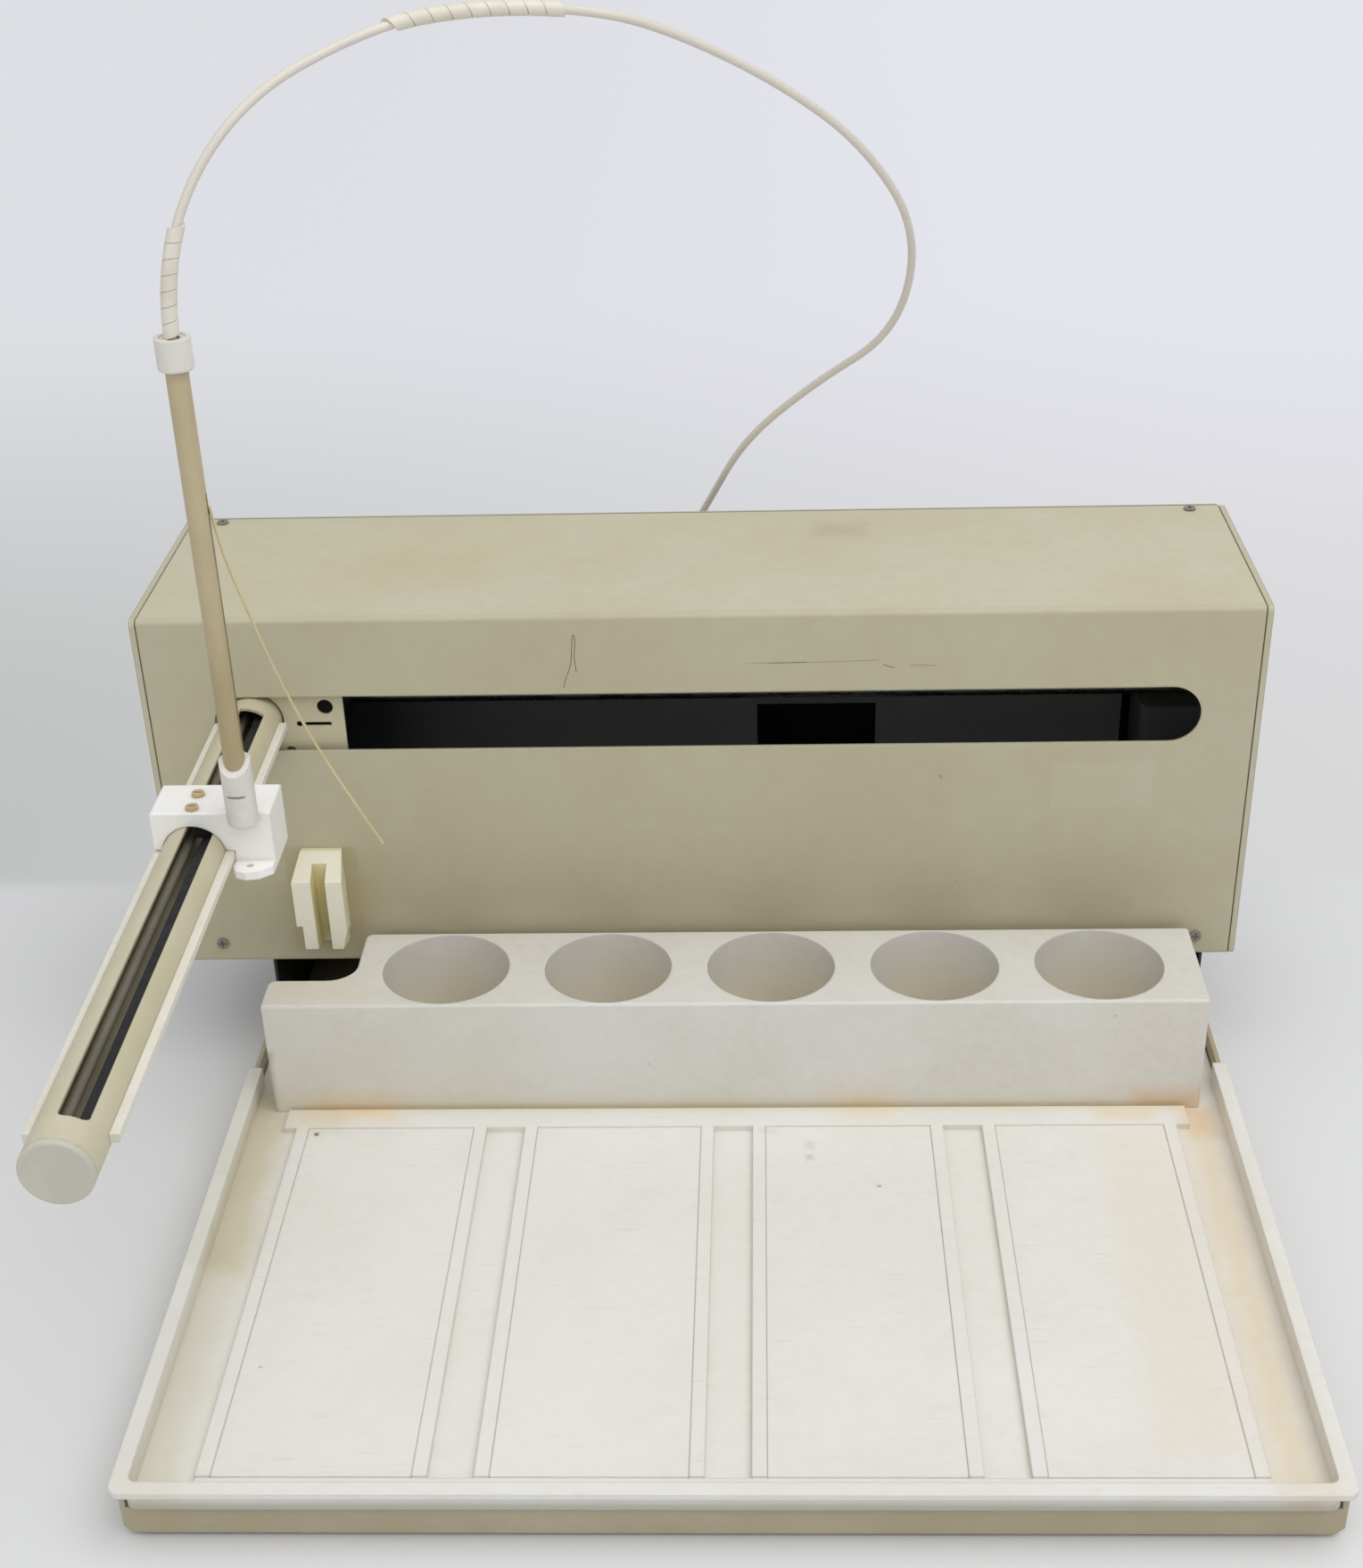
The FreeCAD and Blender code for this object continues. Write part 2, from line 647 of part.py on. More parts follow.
def make_arm_tube():
    body = new_body("arm_tube")
    front = "front_y - cap_reach + 3"
    tail = "front_y + arm_tail"
    pad(body, "XZ_Plane", front, tail, (arm_axis, arm_level, "arm_radius"))
    cut(body, "XZ_Plane", front + " - 1", tail + " + 1",
        (arm_axis, arm_level, "arm_radius - arm_wall"))
    middle = arm_axis + " + arm_slot_offset"
    cut(body, "XY_Plane", arm_level, arm_level + " + 20",
        box_of(middle + " - arm_slot_half", middle + " + arm_slot_half",
               "front_y - arm_slot_front + arm_slot_round",
               "front_y - arm_slot_rear"))
    # the slot's rounded front corners
    cut(body, "XY_Plane", arm_level, arm_level + " + 20",
        (middle + " - arm_slot_half + arm_slot_round",
         middle + " + arm_slot_half - arm_slot_round",
         "front_y - arm_slot_front + arm_slot_round", "arm_slot_round"))
    cut(body, "YZ_Plane", arm_axis, arm_axis + " + 20",
        ("front_y + y_rear_axle", arm_level, "3.2"))
    keep("arm_tube", body)


def make_arm_cap():
    body = new_body("arm_end_cap")
    front = "front_y - cap_reach"
    pad(body, "XZ_Plane", front, front + " + 2.9",
        (arm_axis, arm_level, "cap_radius - 0.8"))
    pad(body, "XZ_Plane", front + " + 2", front + " + cap_depth - 5",
        (arm_axis, arm_level, "arm_radius - arm_wall - 0.05"))
    soften(body, "1.2", lambda e: near(e, y=front) and
           e.Curve.TypeId == "Part::GeomCircle")
    cut(body, "XZ_Plane", front + " + 3", front + " + cap_depth",
        (arm_axis, arm_level, "arm_radius - arm_wall - 0.7"))
    keep("arm_end_cap", body)


def make_arm_rails():
    for name, way in (("arm_rail_left", -1), ("arm_rail_right", 1)):
        body = new_body(name)
        near_x = arm_axis + " + %d * (arm_radius + 0.02)" % way
        far_x = arm_axis + " + %d * (arm_radius + rail_side)" % way
        low, high = (near_x, far_x) if way > 0 else (far_x, near_x)
        pad(body, "XZ_Plane", "front_y - rail_reach", "front_y - 2",
            box_of(low, high, arm_level + " - rail_side / 2",
                   arm_level + " + rail_side / 2"))
        soften(body, "0.6", lambda e: along("y", e) and near(e, x=far_x))
        keep(name, body)


def make_y_drive():
    """Toothed belt on two small pulleys, and the grey guide shaft beside it."""
    axle_front = "front_y - y_front_axle"
    axle_rear = "front_y + y_rear_axle"
    left = arm_axis + " + y_belt_offset"
    right = arm_axis + " + y_belt_offset + y_belt_width"
    outer = "(small_pulley + belt_thick)"
    inner = "(small_pulley + 0.1)"
    body = new_body("y_belt")
    pad(body, "YZ_Plane", left, right,
        (axle_front, axle_rear, arm_level, outer))
    cut(body, "YZ_Plane", left + " - 1", right + " + 1",
        (axle_front, axle_rear, arm_level, inner))
    keep("y_belt", body)
    shaft = cylinder("y_guide_shaft", "2.5",
                     axle_rear + " - (" + axle_front + ")", "y",
                     (arm_axis + " - 4.5", axle_front, arm_level + " + 2"))
    keep("y_guide_shaft", shaft)
    for name, axle, reach in (("y_front_pulley", axle_front, "0.8"),
                              ("y_rear_pulley", axle_rear, "0")):
        pulley = cylinder(name + "_rim", "small_pulley", "y_belt_width", "x",
                          (left, axle, arm_level))
        if name == "y_rear_pulley":
            axle_end = "(22.3 - y_belt_offset)"
            start = left
        else:
            axle_end = "(y_belt_width + 2)"
            start = left + " - 1"
        axle_part = cylinder(name + "_axle", "2", axle_end, "x",
                             (start, axle, arm_level))
        keep(name, joined(name, [pulley, axle_part]))
    yoke_left = left + " - 1.3"
    yoke_right = right + " + 1.3"
    ears = []
    for i, (low, high) in enumerate(((yoke_left + " - 1.5", yoke_left),
                                     (yoke_right, yoke_right + " + 1.5"))):
        ears.append(block("yoke_ear_%d" % i,
                          (low, axle_front + " - 5", arm_level + " - 4"),
                          (high, axle_front + " + 5", arm_level + " + 4")))
    bridge = block("yoke_bridge",
                   (yoke_left + " - 1.5", axle_front + " - 8.5",
                    arm_level + " - 4"),
                   (yoke_right + " + 1.5", axle_front + " - 7.6",
                    arm_level + " + 4"))
    link = block("yoke_link",
                 (yoke_left + " - 1.5", axle_front + " - 8.5",
                  arm_level + " - 4"),
                 (yoke_left, axle_front + " - 4", arm_level + " + 4"))
    other = block("yoke_other",
                  (yoke_right, axle_front + " - 8.5", arm_level + " - 4"),
                  (yoke_right + " + 1.5", axle_front + " - 4",
                   arm_level + " + 4"))
    seat = block("yoke_seat",
                 (arm_axis + " - 7.5", axle_front + " - 8.5",
                  arm_level + " - 2"),
                 (yoke_left + " - 1.4", axle_front, arm_level + " + 4"))
    keep("y_pulley_yoke",
         joined("y_pulley_yoke", ears + [bridge, link, other, seat]))
    case = block("y_motor_case",
                 (arm_axis + " + 22", axle_rear + " - small_motor / 2",
                  arm_level + " - small_motor / 2"),
                 (arm_axis + " + 45", axle_rear + " + small_motor / 2",
                  arm_level + " + small_motor / 2"))
    bore = cylinder("y_motor_bore", "2.3", "2", "x",
                    (arm_axis + " + 21.5", axle_rear, arm_level))
    keep("y_motor", less("y_motor", case, bore))


def make_carriage():
    body = new_body("carriage_block")
    low = "rod_low - 12"
    high = "rod_high + 12"
    front = "front_y + 8"
    back = "front_y + rod_depth + 14"
    left = arm_axis + " - 22"
    right = arm_axis + " + 22"
    pad(body, "XY_Plane", low, high, box_of(left, right, front, back))
    cut(body, "XZ_Plane", front + " - 1", "front_y + arm_tail",
        (arm_axis, arm_level, "arm_radius"))
    cut(body, "XZ_Plane", "front_y + arm_tail - 1", back + " + 1",
        (arm_axis, arm_level, "7"))
    cut(body, "YZ_Plane", left + " - 1", right + " + 1",
        ("front_y + rod_depth", "rod_low", "guide_rod + bush_gap"),
        ("front_y + rod_depth", "rod_high", "guide_rod + bush_gap"))
    cut(body, "YZ_Plane", arm_axis, right + " + 1",
        ("front_y + y_rear_axle", arm_level, "3.2"))
    soften(body, "2", lambda e: along("y", e), "Chamfer")
    keep("carriage_block", body)
    plate = new_body("carriage_plate")
    pad(plate, "XZ_Plane", "front_y + 5", "front_y + 6.5",
        box_of(arm_axis + " - 24", arm_axis + " + 48", low, high))
    cut(plate, "XZ_Plane", "front_y + 4", "front_y + 8",
        (arm_axis, arm_level, "arm_radius + 1"),
        (arm_axis + " + 38.4", "slot_height + 7.4", "4.2"),
        (arm_axis + " + 24", "slot_height - 2.4", "1.6"),
        (arm_axis + " + 28", arm_axis + " + 40", "slot_height - 2.4", "1.1"),
        (arm_axis + " + 18", "slot_height - 18.1", "2.6"))
    keep("carriage_plate", plate)
    spacers = [cylinder("spacer_%d" % i, "3", "1.5", "y",
                        (arm_axis + " + " + dx, "front_y + 6.5", up))
               for i, (dx, up) in enumerate((("(-17)", "rod_high + 5"),
                                             ("17", "rod_high + 5"),
                                             ("(-17)", "rod_low - 5"),
                                             ("17", "rod_low - 5")))]
    keep("carriage_spacers",
         joined("carriage_spacers", spacers, "Part::Compound"))


def make_x_drive():
    depth = "front_y + rod_depth"
    rods = [cylinder("x_rod_%d" % i, "guide_rod", "2 * rod_end - 0.4", "x",
                     ("0.2 - rod_end", depth, up))
            for i, up in enumerate(("rod_low", "rod_high"))]
    keep("x_guide_rods", joined("x_guide_rods", rods, "Part::Compound"))
    for name, low in (("left_rod_bracket", "-rod_end"),
                      ("right_rod_bracket", "rod_end - bracket_thick")):
        body = new_body(name)
        pad(body, "YZ_Plane", low, low + " + bracket_thick",
            box_of(depth + " - 12", depth + " + 6.5",
                   "house_bottom + sheet_thick", "rod_high + 12"))
        cut(body, "YZ_Plane", low + " - 1", low + " + bracket_thick + 1",
            (depth, "rod_low", "guide_rod"), (depth, "rod_high", "guide_rod"))
        keep(name, body)
    line = "front_y + belt_depth"
    outer = "(pulley_radius + belt_thick)"
    inner = "(pulley_radius + 0.1)"
    belt = new_body("x_belt")
    pad(belt, "XY_Plane", "belt_low", "belt_low + belt_width",
        ("-idle_x", "drive_x", line, outer))
    cut(belt, "XY_Plane", "belt_low - 1", "belt_low + belt_width + 1",
        ("-idle_x", "drive_x", line, inner))
    keep("x_belt", belt)
    clamp = new_body("x_belt_clamp")
    front_run = line + " - pulley_radius - belt_thick"
    pad(clamp, "YZ_Plane", arm_axis + " - 10", arm_axis + " + 10",
        [("front_y + rod_depth + 14", "belt_low - 3"),
         (front_run + " + 3.4", "belt_low - 3"),
         (front_run + " + 3.4", "belt_low - 0.4"),
         (front_run + " - 0.4", "belt_low - 0.4"),
         (front_run + " - 0.4", "belt_low + belt_width + 3"),
         ("front_y + rod_depth + 14", "belt_low + belt_width + 3")])
    keep("x_belt_clamp", clamp)
    for name, spot, foot in (("x_drive_pulley", "drive_x", "motor_top - 12"),
                             ("x_idle_pulley", "-idle_x", "belt_low - 14")):
        rim = cylinder(name + "_rim", "pulley_radius", "belt_width + 0.6", "z",
                       (spot, line, "belt_low - 0.3"))
        lip = cylinder(name + "_lip", "pulley_radius + 1.6", "1", "z",
                       (spot, line, "belt_low - 1.4"))
        top = cylinder(name + "_top", "pulley_radius + 1.6", "1", "z",
                       (spot, line, "belt_low + belt_width + 0.3"))
        hub = cylinder(name + "_hub", "pulley_radius - 2", "2", "z",
                       (spot, line, "belt_low - 2"))
        axle = cylinder(name + "_axle", "2.5",
                        "belt_low + belt_width + 4 - (" + foot + ")", "z",
                        (spot, line, foot))
        keep(name, joined(name, [rim, lip, top, hub, axle]))
    side = "motor_side / 2"
    motor = new_body("x_motor")
    pad(motor, "XY_Plane", "motor_top - motor_height", "motor_top",
        box_of("drive_x - " + side, "drive_x + " + side, line + " - " + side,
               line + " + " + side))
    soften(motor, "4", lambda e: along("z", e), "Chamfer")
    cut(motor, "XY_Plane", "motor_top - 13", "motor_top + 1",
        ("drive_x", line, "2.55"))
    keep("x_motor", motor)
    stand = new_body("motor_stand")
    pad(stand, "XZ_Plane", line + " - " + side, line + " + " + side,
        [("drive_x - 24", "house_bottom + sheet_thick"),
         ("drive_x + 21", "house_bottom + sheet_thick"),
         ("drive_x + 21", "motor_top - motor_height"),
         ("drive_x - 21", "motor_top - motor_height"),
         ("drive_x - 21", "motor_top - motor_height - 2"),
         ("drive_x + 19", "motor_top - motor_height - 2"),
         ("drive_x + 19", "house_bottom + sheet_thick + 2"),
         ("drive_x - 24", "house_bottom + sheet_thick + 2")])
    keep("motor_stand", stand)
    post = new_body("idler_post")
    pad(post, "XY_Plane", "house_bottom + sheet_thick", "belt_low - 2.5",
        box_of("-idle_x - 9", "-idle_x + 9", line + " - 9", line + " + 9"))
    cut(post, "XY_Plane", "belt_low - 15", "belt_low", ("-idle_x", line, "2.55"))
    keep("idler_post", post)


def make_slider():
    body = new_body("slider_block")
    front = "front_y - slide_front"
    back = "front_y - slide_front + slide_depth"
    left = arm_axis + " - slide_left"
    right = arm_axis + " + slide_right"
    pad(body, "XZ_Plane", front, back,
        [(left, "slide_bottom + 10"), (left, "slide_top"),
         (right, "slide_top"), (right, "slide_bottom"),
         (arm_axis + " + 15.5", "slide_bottom"),
         (arm_axis + " + 15.5", "slide_bottom + 10")])
    cut(body, "XZ_Plane", front + " - 1", back + " + 1",
        (arm_axis, arm_level, "arm_radius + run_gap"))
    cut(body, "XZ_Plane", front + " - 1", back + " + 1",
        box_of(arm_axis + " + 10", arm_axis + " + arm_radius + rail_side + 0.3",
               "slide_bottom - 1", arm_level + " + rail_side / 2 + 0.3"))
    lobe = new_lobe(body, front)
    cut(body, "XY_Plane", "clip_foot - 1", "slide_top + 1",
        (arm_axis + " + probe_offset", "front_y - slide_front - probe_ahead",
         "clip_radius + 0.05"))
    soften(body, "0.8", lambda e: near(e, z="slide_top") and
           (along("x", e) or along("y", e)), "Chamfer")
    keep("slider_block", body)


def new_lobe(body, front):
    """The foot with the probe's guide hole, in front of the block."""
    x = arm_axis + " + probe_offset"
    ahead = "front_y - slide_front - probe_ahead"
    pad(body, "XY_Plane", "slide_bottom", "slide_bottom + 4",
        [(x + " - 7", front + " + 2"), (x + " - 8", ahead),
         (x + " - 6", ahead + " - 5"), (x + " - 1", ahead + " - 7"),
         (x + " + 5", ahead + " - 6"), (x + " + 11", ahead + " - 1"),
         (arm_axis + " + slide_right", front + " + 2")])
    return cut(body, "XY_Plane", "slide_bottom - 1", "slide_bottom + 5",
               (x, ahead, "guide_radius"))


def make_tube_clip():
    body = new_body("tube_clip")
    x = arm_axis + " + probe_offset"
    y = "front_y - slide_front - probe_ahead"
    pad(body, "XY_Plane", "clip_foot", "clip_top", (x, y, "clip_radius"))
    cut(body, "XY_Plane", "tube_foot", "clip_top + 1",
        (x, y, "tube_radius + 0.02"))
    cut(body, "XY_Plane", "clip_foot - 1", "tube_foot + 1",
        (x, y, "guide_radius"))
    cut(body, "YZ_Plane", x + " - 10", x + " + 10",
        [(y + " - 9", "clip_top - 8"), (y + " + 1", "clip_top + 1"),
         (y + " - 9", "clip_top + 1")])
    cut(body, "XZ_Plane", y + " - 9", y + " - 5.5",
        box_of(x + " - 4", x + " + 4", "clip_foot + 16.6",
               "clip_foot + 17.8"))
    soften(body, "1.6", lambda e: near(e, z="clip_foot") and
           e.BoundBox.XLength > 10, "Chamfer")
    keep("tube_clip", body)


def make_z_tube():
    body = new_body("z_tube")
    x = arm_axis + " + probe_offset"
    y = "front_y - slide_front - probe_ahead"
    pad(body, "XY_Plane", "tube_foot", "tube_top", (x, y, "tube_radius"))
    cut(body, "XY_Plane", "tube_foot - 1", "tube_top + 1",
        (x, y, "tube_radius - tube_wall"))
    cut(body, "YZ_Plane", x + " + 1", x + " + 8",
        box_of(y + " - 1.2", y + " + 1.2", "tube_foot + 12", "rod_head - 45"))
    keep("z_tube", body)
    cap = new_body("z_tube_cap")
    foot = "head_top - head_height"
    pad(cap, "XY_Plane", foot, "head_top", (x, y, "head_radius"))
    cut(cap, "XY_Plane", foot + " - 1", "tube_top",
        (x, y, "tube_radius + 0.02"))
    cut(cap, "XY_Plane", "tube_top - 1", "head_top + 1", (x, y, "2.3"))
    cut(cap, "XY_Plane", "head_top - 2.5", "head_top + 1", (x, y, "5.6"))
    soften(cap, "1", lambda e: near(e, z=foot) and e.BoundBox.XLength > 15)
    keep("z_tube_cap", cap)
    slug = cylinder("slug", "tube_radius - tube_wall - 0.06", "14", "z",
                    (x, y, "rod_head - 14"))
    rod = cylinder("probe_rod_stem", "rod_radius", "rod_head - rod_tip", "z",
                   (x, y, "rod_tip"))
    keep("probe_rod", joined("probe_rod", [slug, rod]))


def make_slider_screws():
    parts = []
    for i, dy in enumerate(("17.5", "4")):
        spot = (arm_axis + " + 1", "front_y - slide_front + " + dy, "slide_top")
        parts.append(less("slide_screw_%d" % i,
                          cylinder("slide_head_%d" % i, "3", "1.8", "z", spot),
                          block("slide_drive_%d" % i,
                                (spot[0] + " - 1.6", spot[1] + " - 0.5",
                                 "slide_top + 0.9"),
                                (spot[0] + " + 1.6", spot[1] + " + 0.5",
                                 "slide_top + 3"))))
    keep("slider_screws", joined("slider_screws", parts, "Part::Compound"))
    clip = block("belt_clip",
                 (arm_axis + " + 1", "front_y - slide_front + 3",
                  arm_level + " + small_pulley + belt_thick + 0.1"),
                 (arm_axis + " + 8.5",
                  "front_y - slide_front + slide_depth - 5",
                  arm_level + " + arm_radius - 2.7"))
    stem = block("belt_clip_stem",
                 (arm_axis + " + 1", "front_y - slide_front + 8",
                  arm_level + " + arm_radius - 3"),
                 (arm_axis + " + 3.4",
                  "front_y - slide_front + slide_depth - 8",
                  arm_level + " + arm_radius - 0.2"))
    keep("belt_clip", joined("belt_clip", [clip, stem]))


def make_electrics():
    board = new_body("control_board")
    level = "house_bottom + sheet_thick + 6"
    pad(board, "XY_Plane", level, level + " + 1.6",
        box_of("-210", "-70", "front_y + 20", "front_y + 120"))
    chips = [box_of("%d" % (-195 + 34 * i), "%d" % (-175 + 34 * i),
                    "front_y + 50", "front_y + 78") for i in range(4)]
    pad(board, "XY_Plane", level + " + 1", level + " + 5", *chips)
    keep("control_board", board)
    posts = [cylinder("board_post_%d%d" % (i, j), "3", "6", "z",
                      (x, y, "house_bottom + sheet_thick"))
             for i, x in enumerate(("-203", "-77"))
             for j, y in enumerate(("front_y + 27", "front_y + 113"))]
    keep("board_posts", joined("board_posts", posts, "Part::Compound"))
    supply = new_body("power_supply")
    pad(supply, "XY_Plane", "house_bottom + sheet_thick", "110",
        box_of("30", "110", "front_y + 24", "front_y + 124"))
    soften(supply, "1.5", lambda e: near(e, z="110"))
    keep("power_supply", supply)
    inlet = new_body("power_inlet")
    pad(inlet, "XZ_Plane", rear_y, rear_y + " + 2.5",
        box_of("inlet_x - 17", "inlet_x + 17", "88", "144"))
    pad(inlet, "XZ_Plane", rear_y + " - 24", rear_y + " + 0.5",
        box_of("inlet_x - 13.6", "inlet_x + 13.6", "92.4", "139.6"))
    cut(inlet, "XZ_Plane", rear_y + " - 16", rear_y + " + 3",
        box_of("inlet_x - 11", "inlet_x + 11", "94.5", "113"))
    cut(inlet, "XZ_Plane", rear_y + " - 10", rear_y + " + 3",
        box_of("inlet_x - 9.5", "inlet_x + 9.5", "121", "137"))
    keep("power_inlet", inlet)
    pins = [block("inlet_pin_%d" % i, (x, rear_y + " - 16", up),
                  (x + " + 2", rear_y + " - 2", up + " + 4"))
            for i, (x, up) in enumerate((("inlet_x - 7.5", "99"),
                                         ("inlet_x - 1", "105"),
                                         ("inlet_x + 5.5", "99")))]
    keep("inlet_pins", joined("inlet_pins", pins, "Part::Compound"))
    rocker = new_body("power_rocker")
    pad(rocker, "YZ_Plane", "inlet_x - 8", "inlet_x + 8",
        [(rear_y + " - 6", "122.5"), (rear_y + " + 3", "122.5"),
         (rear_y + " + 1", "129"), (rear_y + " + 1", "135.6"),
         (rear_y + " - 6", "133")])
    pad(rocker, "YZ_Plane", "inlet_x - 9.4", "inlet_x + 9.4",
        (rear_y + " - 3", "129", "1.5"))
    keep("power_rocker", rocker)
    ports = [block("port_%d" % i, ("port_x - 16.5", rear_y + " - 10", low),
                   ("port_x + 16.5", rear_y + " + 4", low + " + 11"))
             for i, low in enumerate(("100.5", "124.5"))]
    keep("serial_ports", joined("serial_ports", ports, "Part::Compound"))
    barbs = []
    for i, x in enumerate(("-barb_x", "-barb_x - 30")):
        stem = cylinder("barb_stem_%d" % i, "2.4", "16", "y",
                        (x, rear_y + " - 10", "110"))
        nut = cylinder("barb_nut_%d" % i, "7", "3", "y", (x, rear_y, "110"))
        body = cylinder("barb_body_%d" % i, "4.9", "8", "y",
                        (x, rear_y + " - 7", "110"))
        whole = joined("barb_%d" % i, [stem, nut, body])
        bore = cylinder("barb_bore_%d" % i, "1.4", "20", "y",
                        (x, rear_y + " - 12", "110"))
        barbs.append(less("barb_drilled_%d" % i, whole, bore))
    keep("rinse_ports", joined("rinse_ports", barbs, "Part::Compound"))


def make_inner_wall():
    """The dark screen seen through the slot, standing on the floor plate."""
    body = new_body("inner_wall")
    foot = "house_bottom + sheet_thick"
    far = "screen_depth + screen_thick"
    pad(body, "XZ_Plane", "front_y + screen_depth", "front_y + " + far,
        [("-screen_side", foot), ("-screen_side + 66", foot),
         ("-screen_side + 66", "112"), ("115", "112"), ("115", foot),
         ("235", foot), ("235", "motor_top + 4"),
         ("screen_side", "motor_top + 4"), ("screen_side", "screen_top"),
         ("-screen_side", "screen_top")])
    cut(body, "XZ_Plane", "front_y + screen_depth - 1",
        "front_y + " + far + " + 1",
        box_of("window_left", "window_right", "window_low", "window_high"))
    keep("inner_wall", body)


def make_z_drive():
    """The spool that pays the drive line out through the sheath."""
    case = new_body("z_drive_case")
    low = "house_bottom + sheet_thick"
    face = "front_y + screen_depth + screen_thick + 0.4"
    pad(case, "XZ_Plane", face, "front_y + 130",
        box_of("-58", "-2", low, "172"))
    cut(case, "XZ_Plane", face + " - 1", "front_y + 126",
        ("-30", "132", "24"))
    cut(case, "XZ_Plane", "front_y + 120", "front_y + 131", ("-30", "132", "4.2"))
    keep("z_drive_case", case)
    drum = cylinder("z_drum", "22", "16", "y", ("-30", "front_y + 108", "132"))
    axle = cylinder("z_axle", "4.1", "26", "y", ("-30", "front_y + 103", "132"))
    keep("z_spool", joined("z_spool", [drum, axle]))
    gland = new_body("sheath_gland")
    pad(gland, "XZ_Plane", rear_y, rear_y + " + 6", ("-30", "192", "8"))
    pad(gland, "XZ_Plane", rear_y + " - 8", rear_y + " + 1",
        ("-30", "192", "5.9"))
    cut(gland, "XZ_Plane", rear_y + " - 9", rear_y + " + 7",
        ("-30", "192", "2.05"))
    keep("sheath_gland", gland)


def tube_along(name, points, radius):
    """A round cord through straight runs joined by tangent arcs."""
    spots = [Vector(*p) for p in points]
    edges = []
    last = spots[0]
    for i in range(1, len(spots) - 1):
        before = (spots[i] - spots[i - 1])
        after = (spots[i + 1] - spots[i])
        half = before.getAngle(after) / 2
        short = min(before.Length, after.Length)
        bend = 0.45 * short / math.tan(half)
        back = bend * math.tan(half)
        start = spots[i] - before.normalize() * back
        end = spots[i] + after.normalize() * back
        inward = (after - before).normalize()
        middle = spots[i] + inward * (bend / math.cos(half) - bend)
        edges.append(Part.LineSegment(last, start).toShape())
        edges.append(Part.Arc(start, middle, end).toShape())
        last = end
        print(name, "bend radius %.1f" % bend)
    edges.append(Part.LineSegment(last, spots[-1]).toShape())
    wire = Part.Wire(edges)
    way = spots[1] - spots[0]
    ring = Part.Wire(Part.Circle(spots[0], way, radius).toShape())
    solid = wire.makePipeShell([ring], True, False, 2)
    part = doc.addObject("Part::Feature", name)
    part.Shape = solid
    print(name, "length %.1f" % wire.Length,
          "volume ratio %.4f" % (solid.Volume / (math.pi * radius ** 2
                                                 * wire.Length)))
    return part


# Cord routes, chosen by hand from the photograph.
sheath_radius = 2.0
sheath_front = [(-207, -27, 462.2), (-207, -27, 500), (-176, -3, 551),
                (-121, 26, 574.5), (-81.3, 44.7, 577.5),
                (-61, 55.5, 575.1)]
sheath_rear = [(-60.91, 55.55, 575.09), (-42.5, 65.3, 572.9),
               (-10, 85, 563), (40, 116, 534), (83, 146, 498),
               (112, 176, 449), (104, 206, 391), (62, 239, 354),
               (24, 268, 313), (2, 298, 264), (-18, 312, 226),
               (-30, 304, 192), (-30, 262.2, 192)]
sample_line = [(-201.6, -27, 391), (-200, -25, 371), (-194, -20, 342),
               (-184, -14, 300), (-168, -10, 256), (-147, -8, 214)]


def make_cords():
    keep("sheath_front", tube_along("sheath_front", sheath_front,
                                    sheath_radius))
    keep("sheath_rear", tube_along("sheath_rear", sheath_rear, sheath_radius))
    keep("sample_line", tube_along("sample_line", sample_line, 0.6))


make_base_pan()
make_feet()
make_pedestal()
make_tray()
make_standards_block()
make_cover()
make_side_plates()
make_rear_panel()
make_floor_plate()
make_housing_screws()
make_rinse_bracket()
make_arm_tube()
make_arm_cap()
make_arm_rails()
make_y_drive()
make_carriage()
make_x_drive()
make_slider()
make_tube_clip()
make_z_tube()
make_slider_screws()
make_electrics()
make_inner_wall()
make_z_drive()
make_cords()
doc.recompute()

bad = [obj.Label for obj in doc.Objects
       if "Invalid" in obj.State or "Error" in obj.State]
if bad:
    raise RuntimeError("failed features: " + ", ".join(bad))
for name, part in nodes.items():
    shape = part.Shape
    if shape.isNull() or not shape.isValid():
        raise RuntimeError("bad shape " + name)
    shape.exportStep("parts/" + name + ".step")
    print(name, "solids", len(shape.Solids), "volume %.0f" % shape.Volume)
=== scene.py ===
import math
import bpy
from mathutils import Matrix, Vector


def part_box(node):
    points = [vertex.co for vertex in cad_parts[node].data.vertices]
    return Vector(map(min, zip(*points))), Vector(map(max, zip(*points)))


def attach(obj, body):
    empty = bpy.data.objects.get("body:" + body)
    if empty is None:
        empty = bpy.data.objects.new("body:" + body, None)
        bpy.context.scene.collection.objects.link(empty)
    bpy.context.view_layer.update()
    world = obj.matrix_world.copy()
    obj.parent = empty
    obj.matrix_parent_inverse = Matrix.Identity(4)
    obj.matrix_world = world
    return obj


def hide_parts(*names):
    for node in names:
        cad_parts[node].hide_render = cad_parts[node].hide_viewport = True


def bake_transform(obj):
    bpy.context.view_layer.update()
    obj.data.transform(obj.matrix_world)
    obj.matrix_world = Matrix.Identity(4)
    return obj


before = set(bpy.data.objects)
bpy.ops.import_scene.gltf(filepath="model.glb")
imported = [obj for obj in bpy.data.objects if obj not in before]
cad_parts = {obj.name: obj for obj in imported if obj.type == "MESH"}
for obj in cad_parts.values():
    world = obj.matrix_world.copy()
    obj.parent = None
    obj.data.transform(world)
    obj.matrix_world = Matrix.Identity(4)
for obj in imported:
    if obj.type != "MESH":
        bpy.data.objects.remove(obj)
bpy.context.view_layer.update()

scene = bpy.context.scene
print("frame loaded:", len(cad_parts), "nodes")


# camera, floor and light

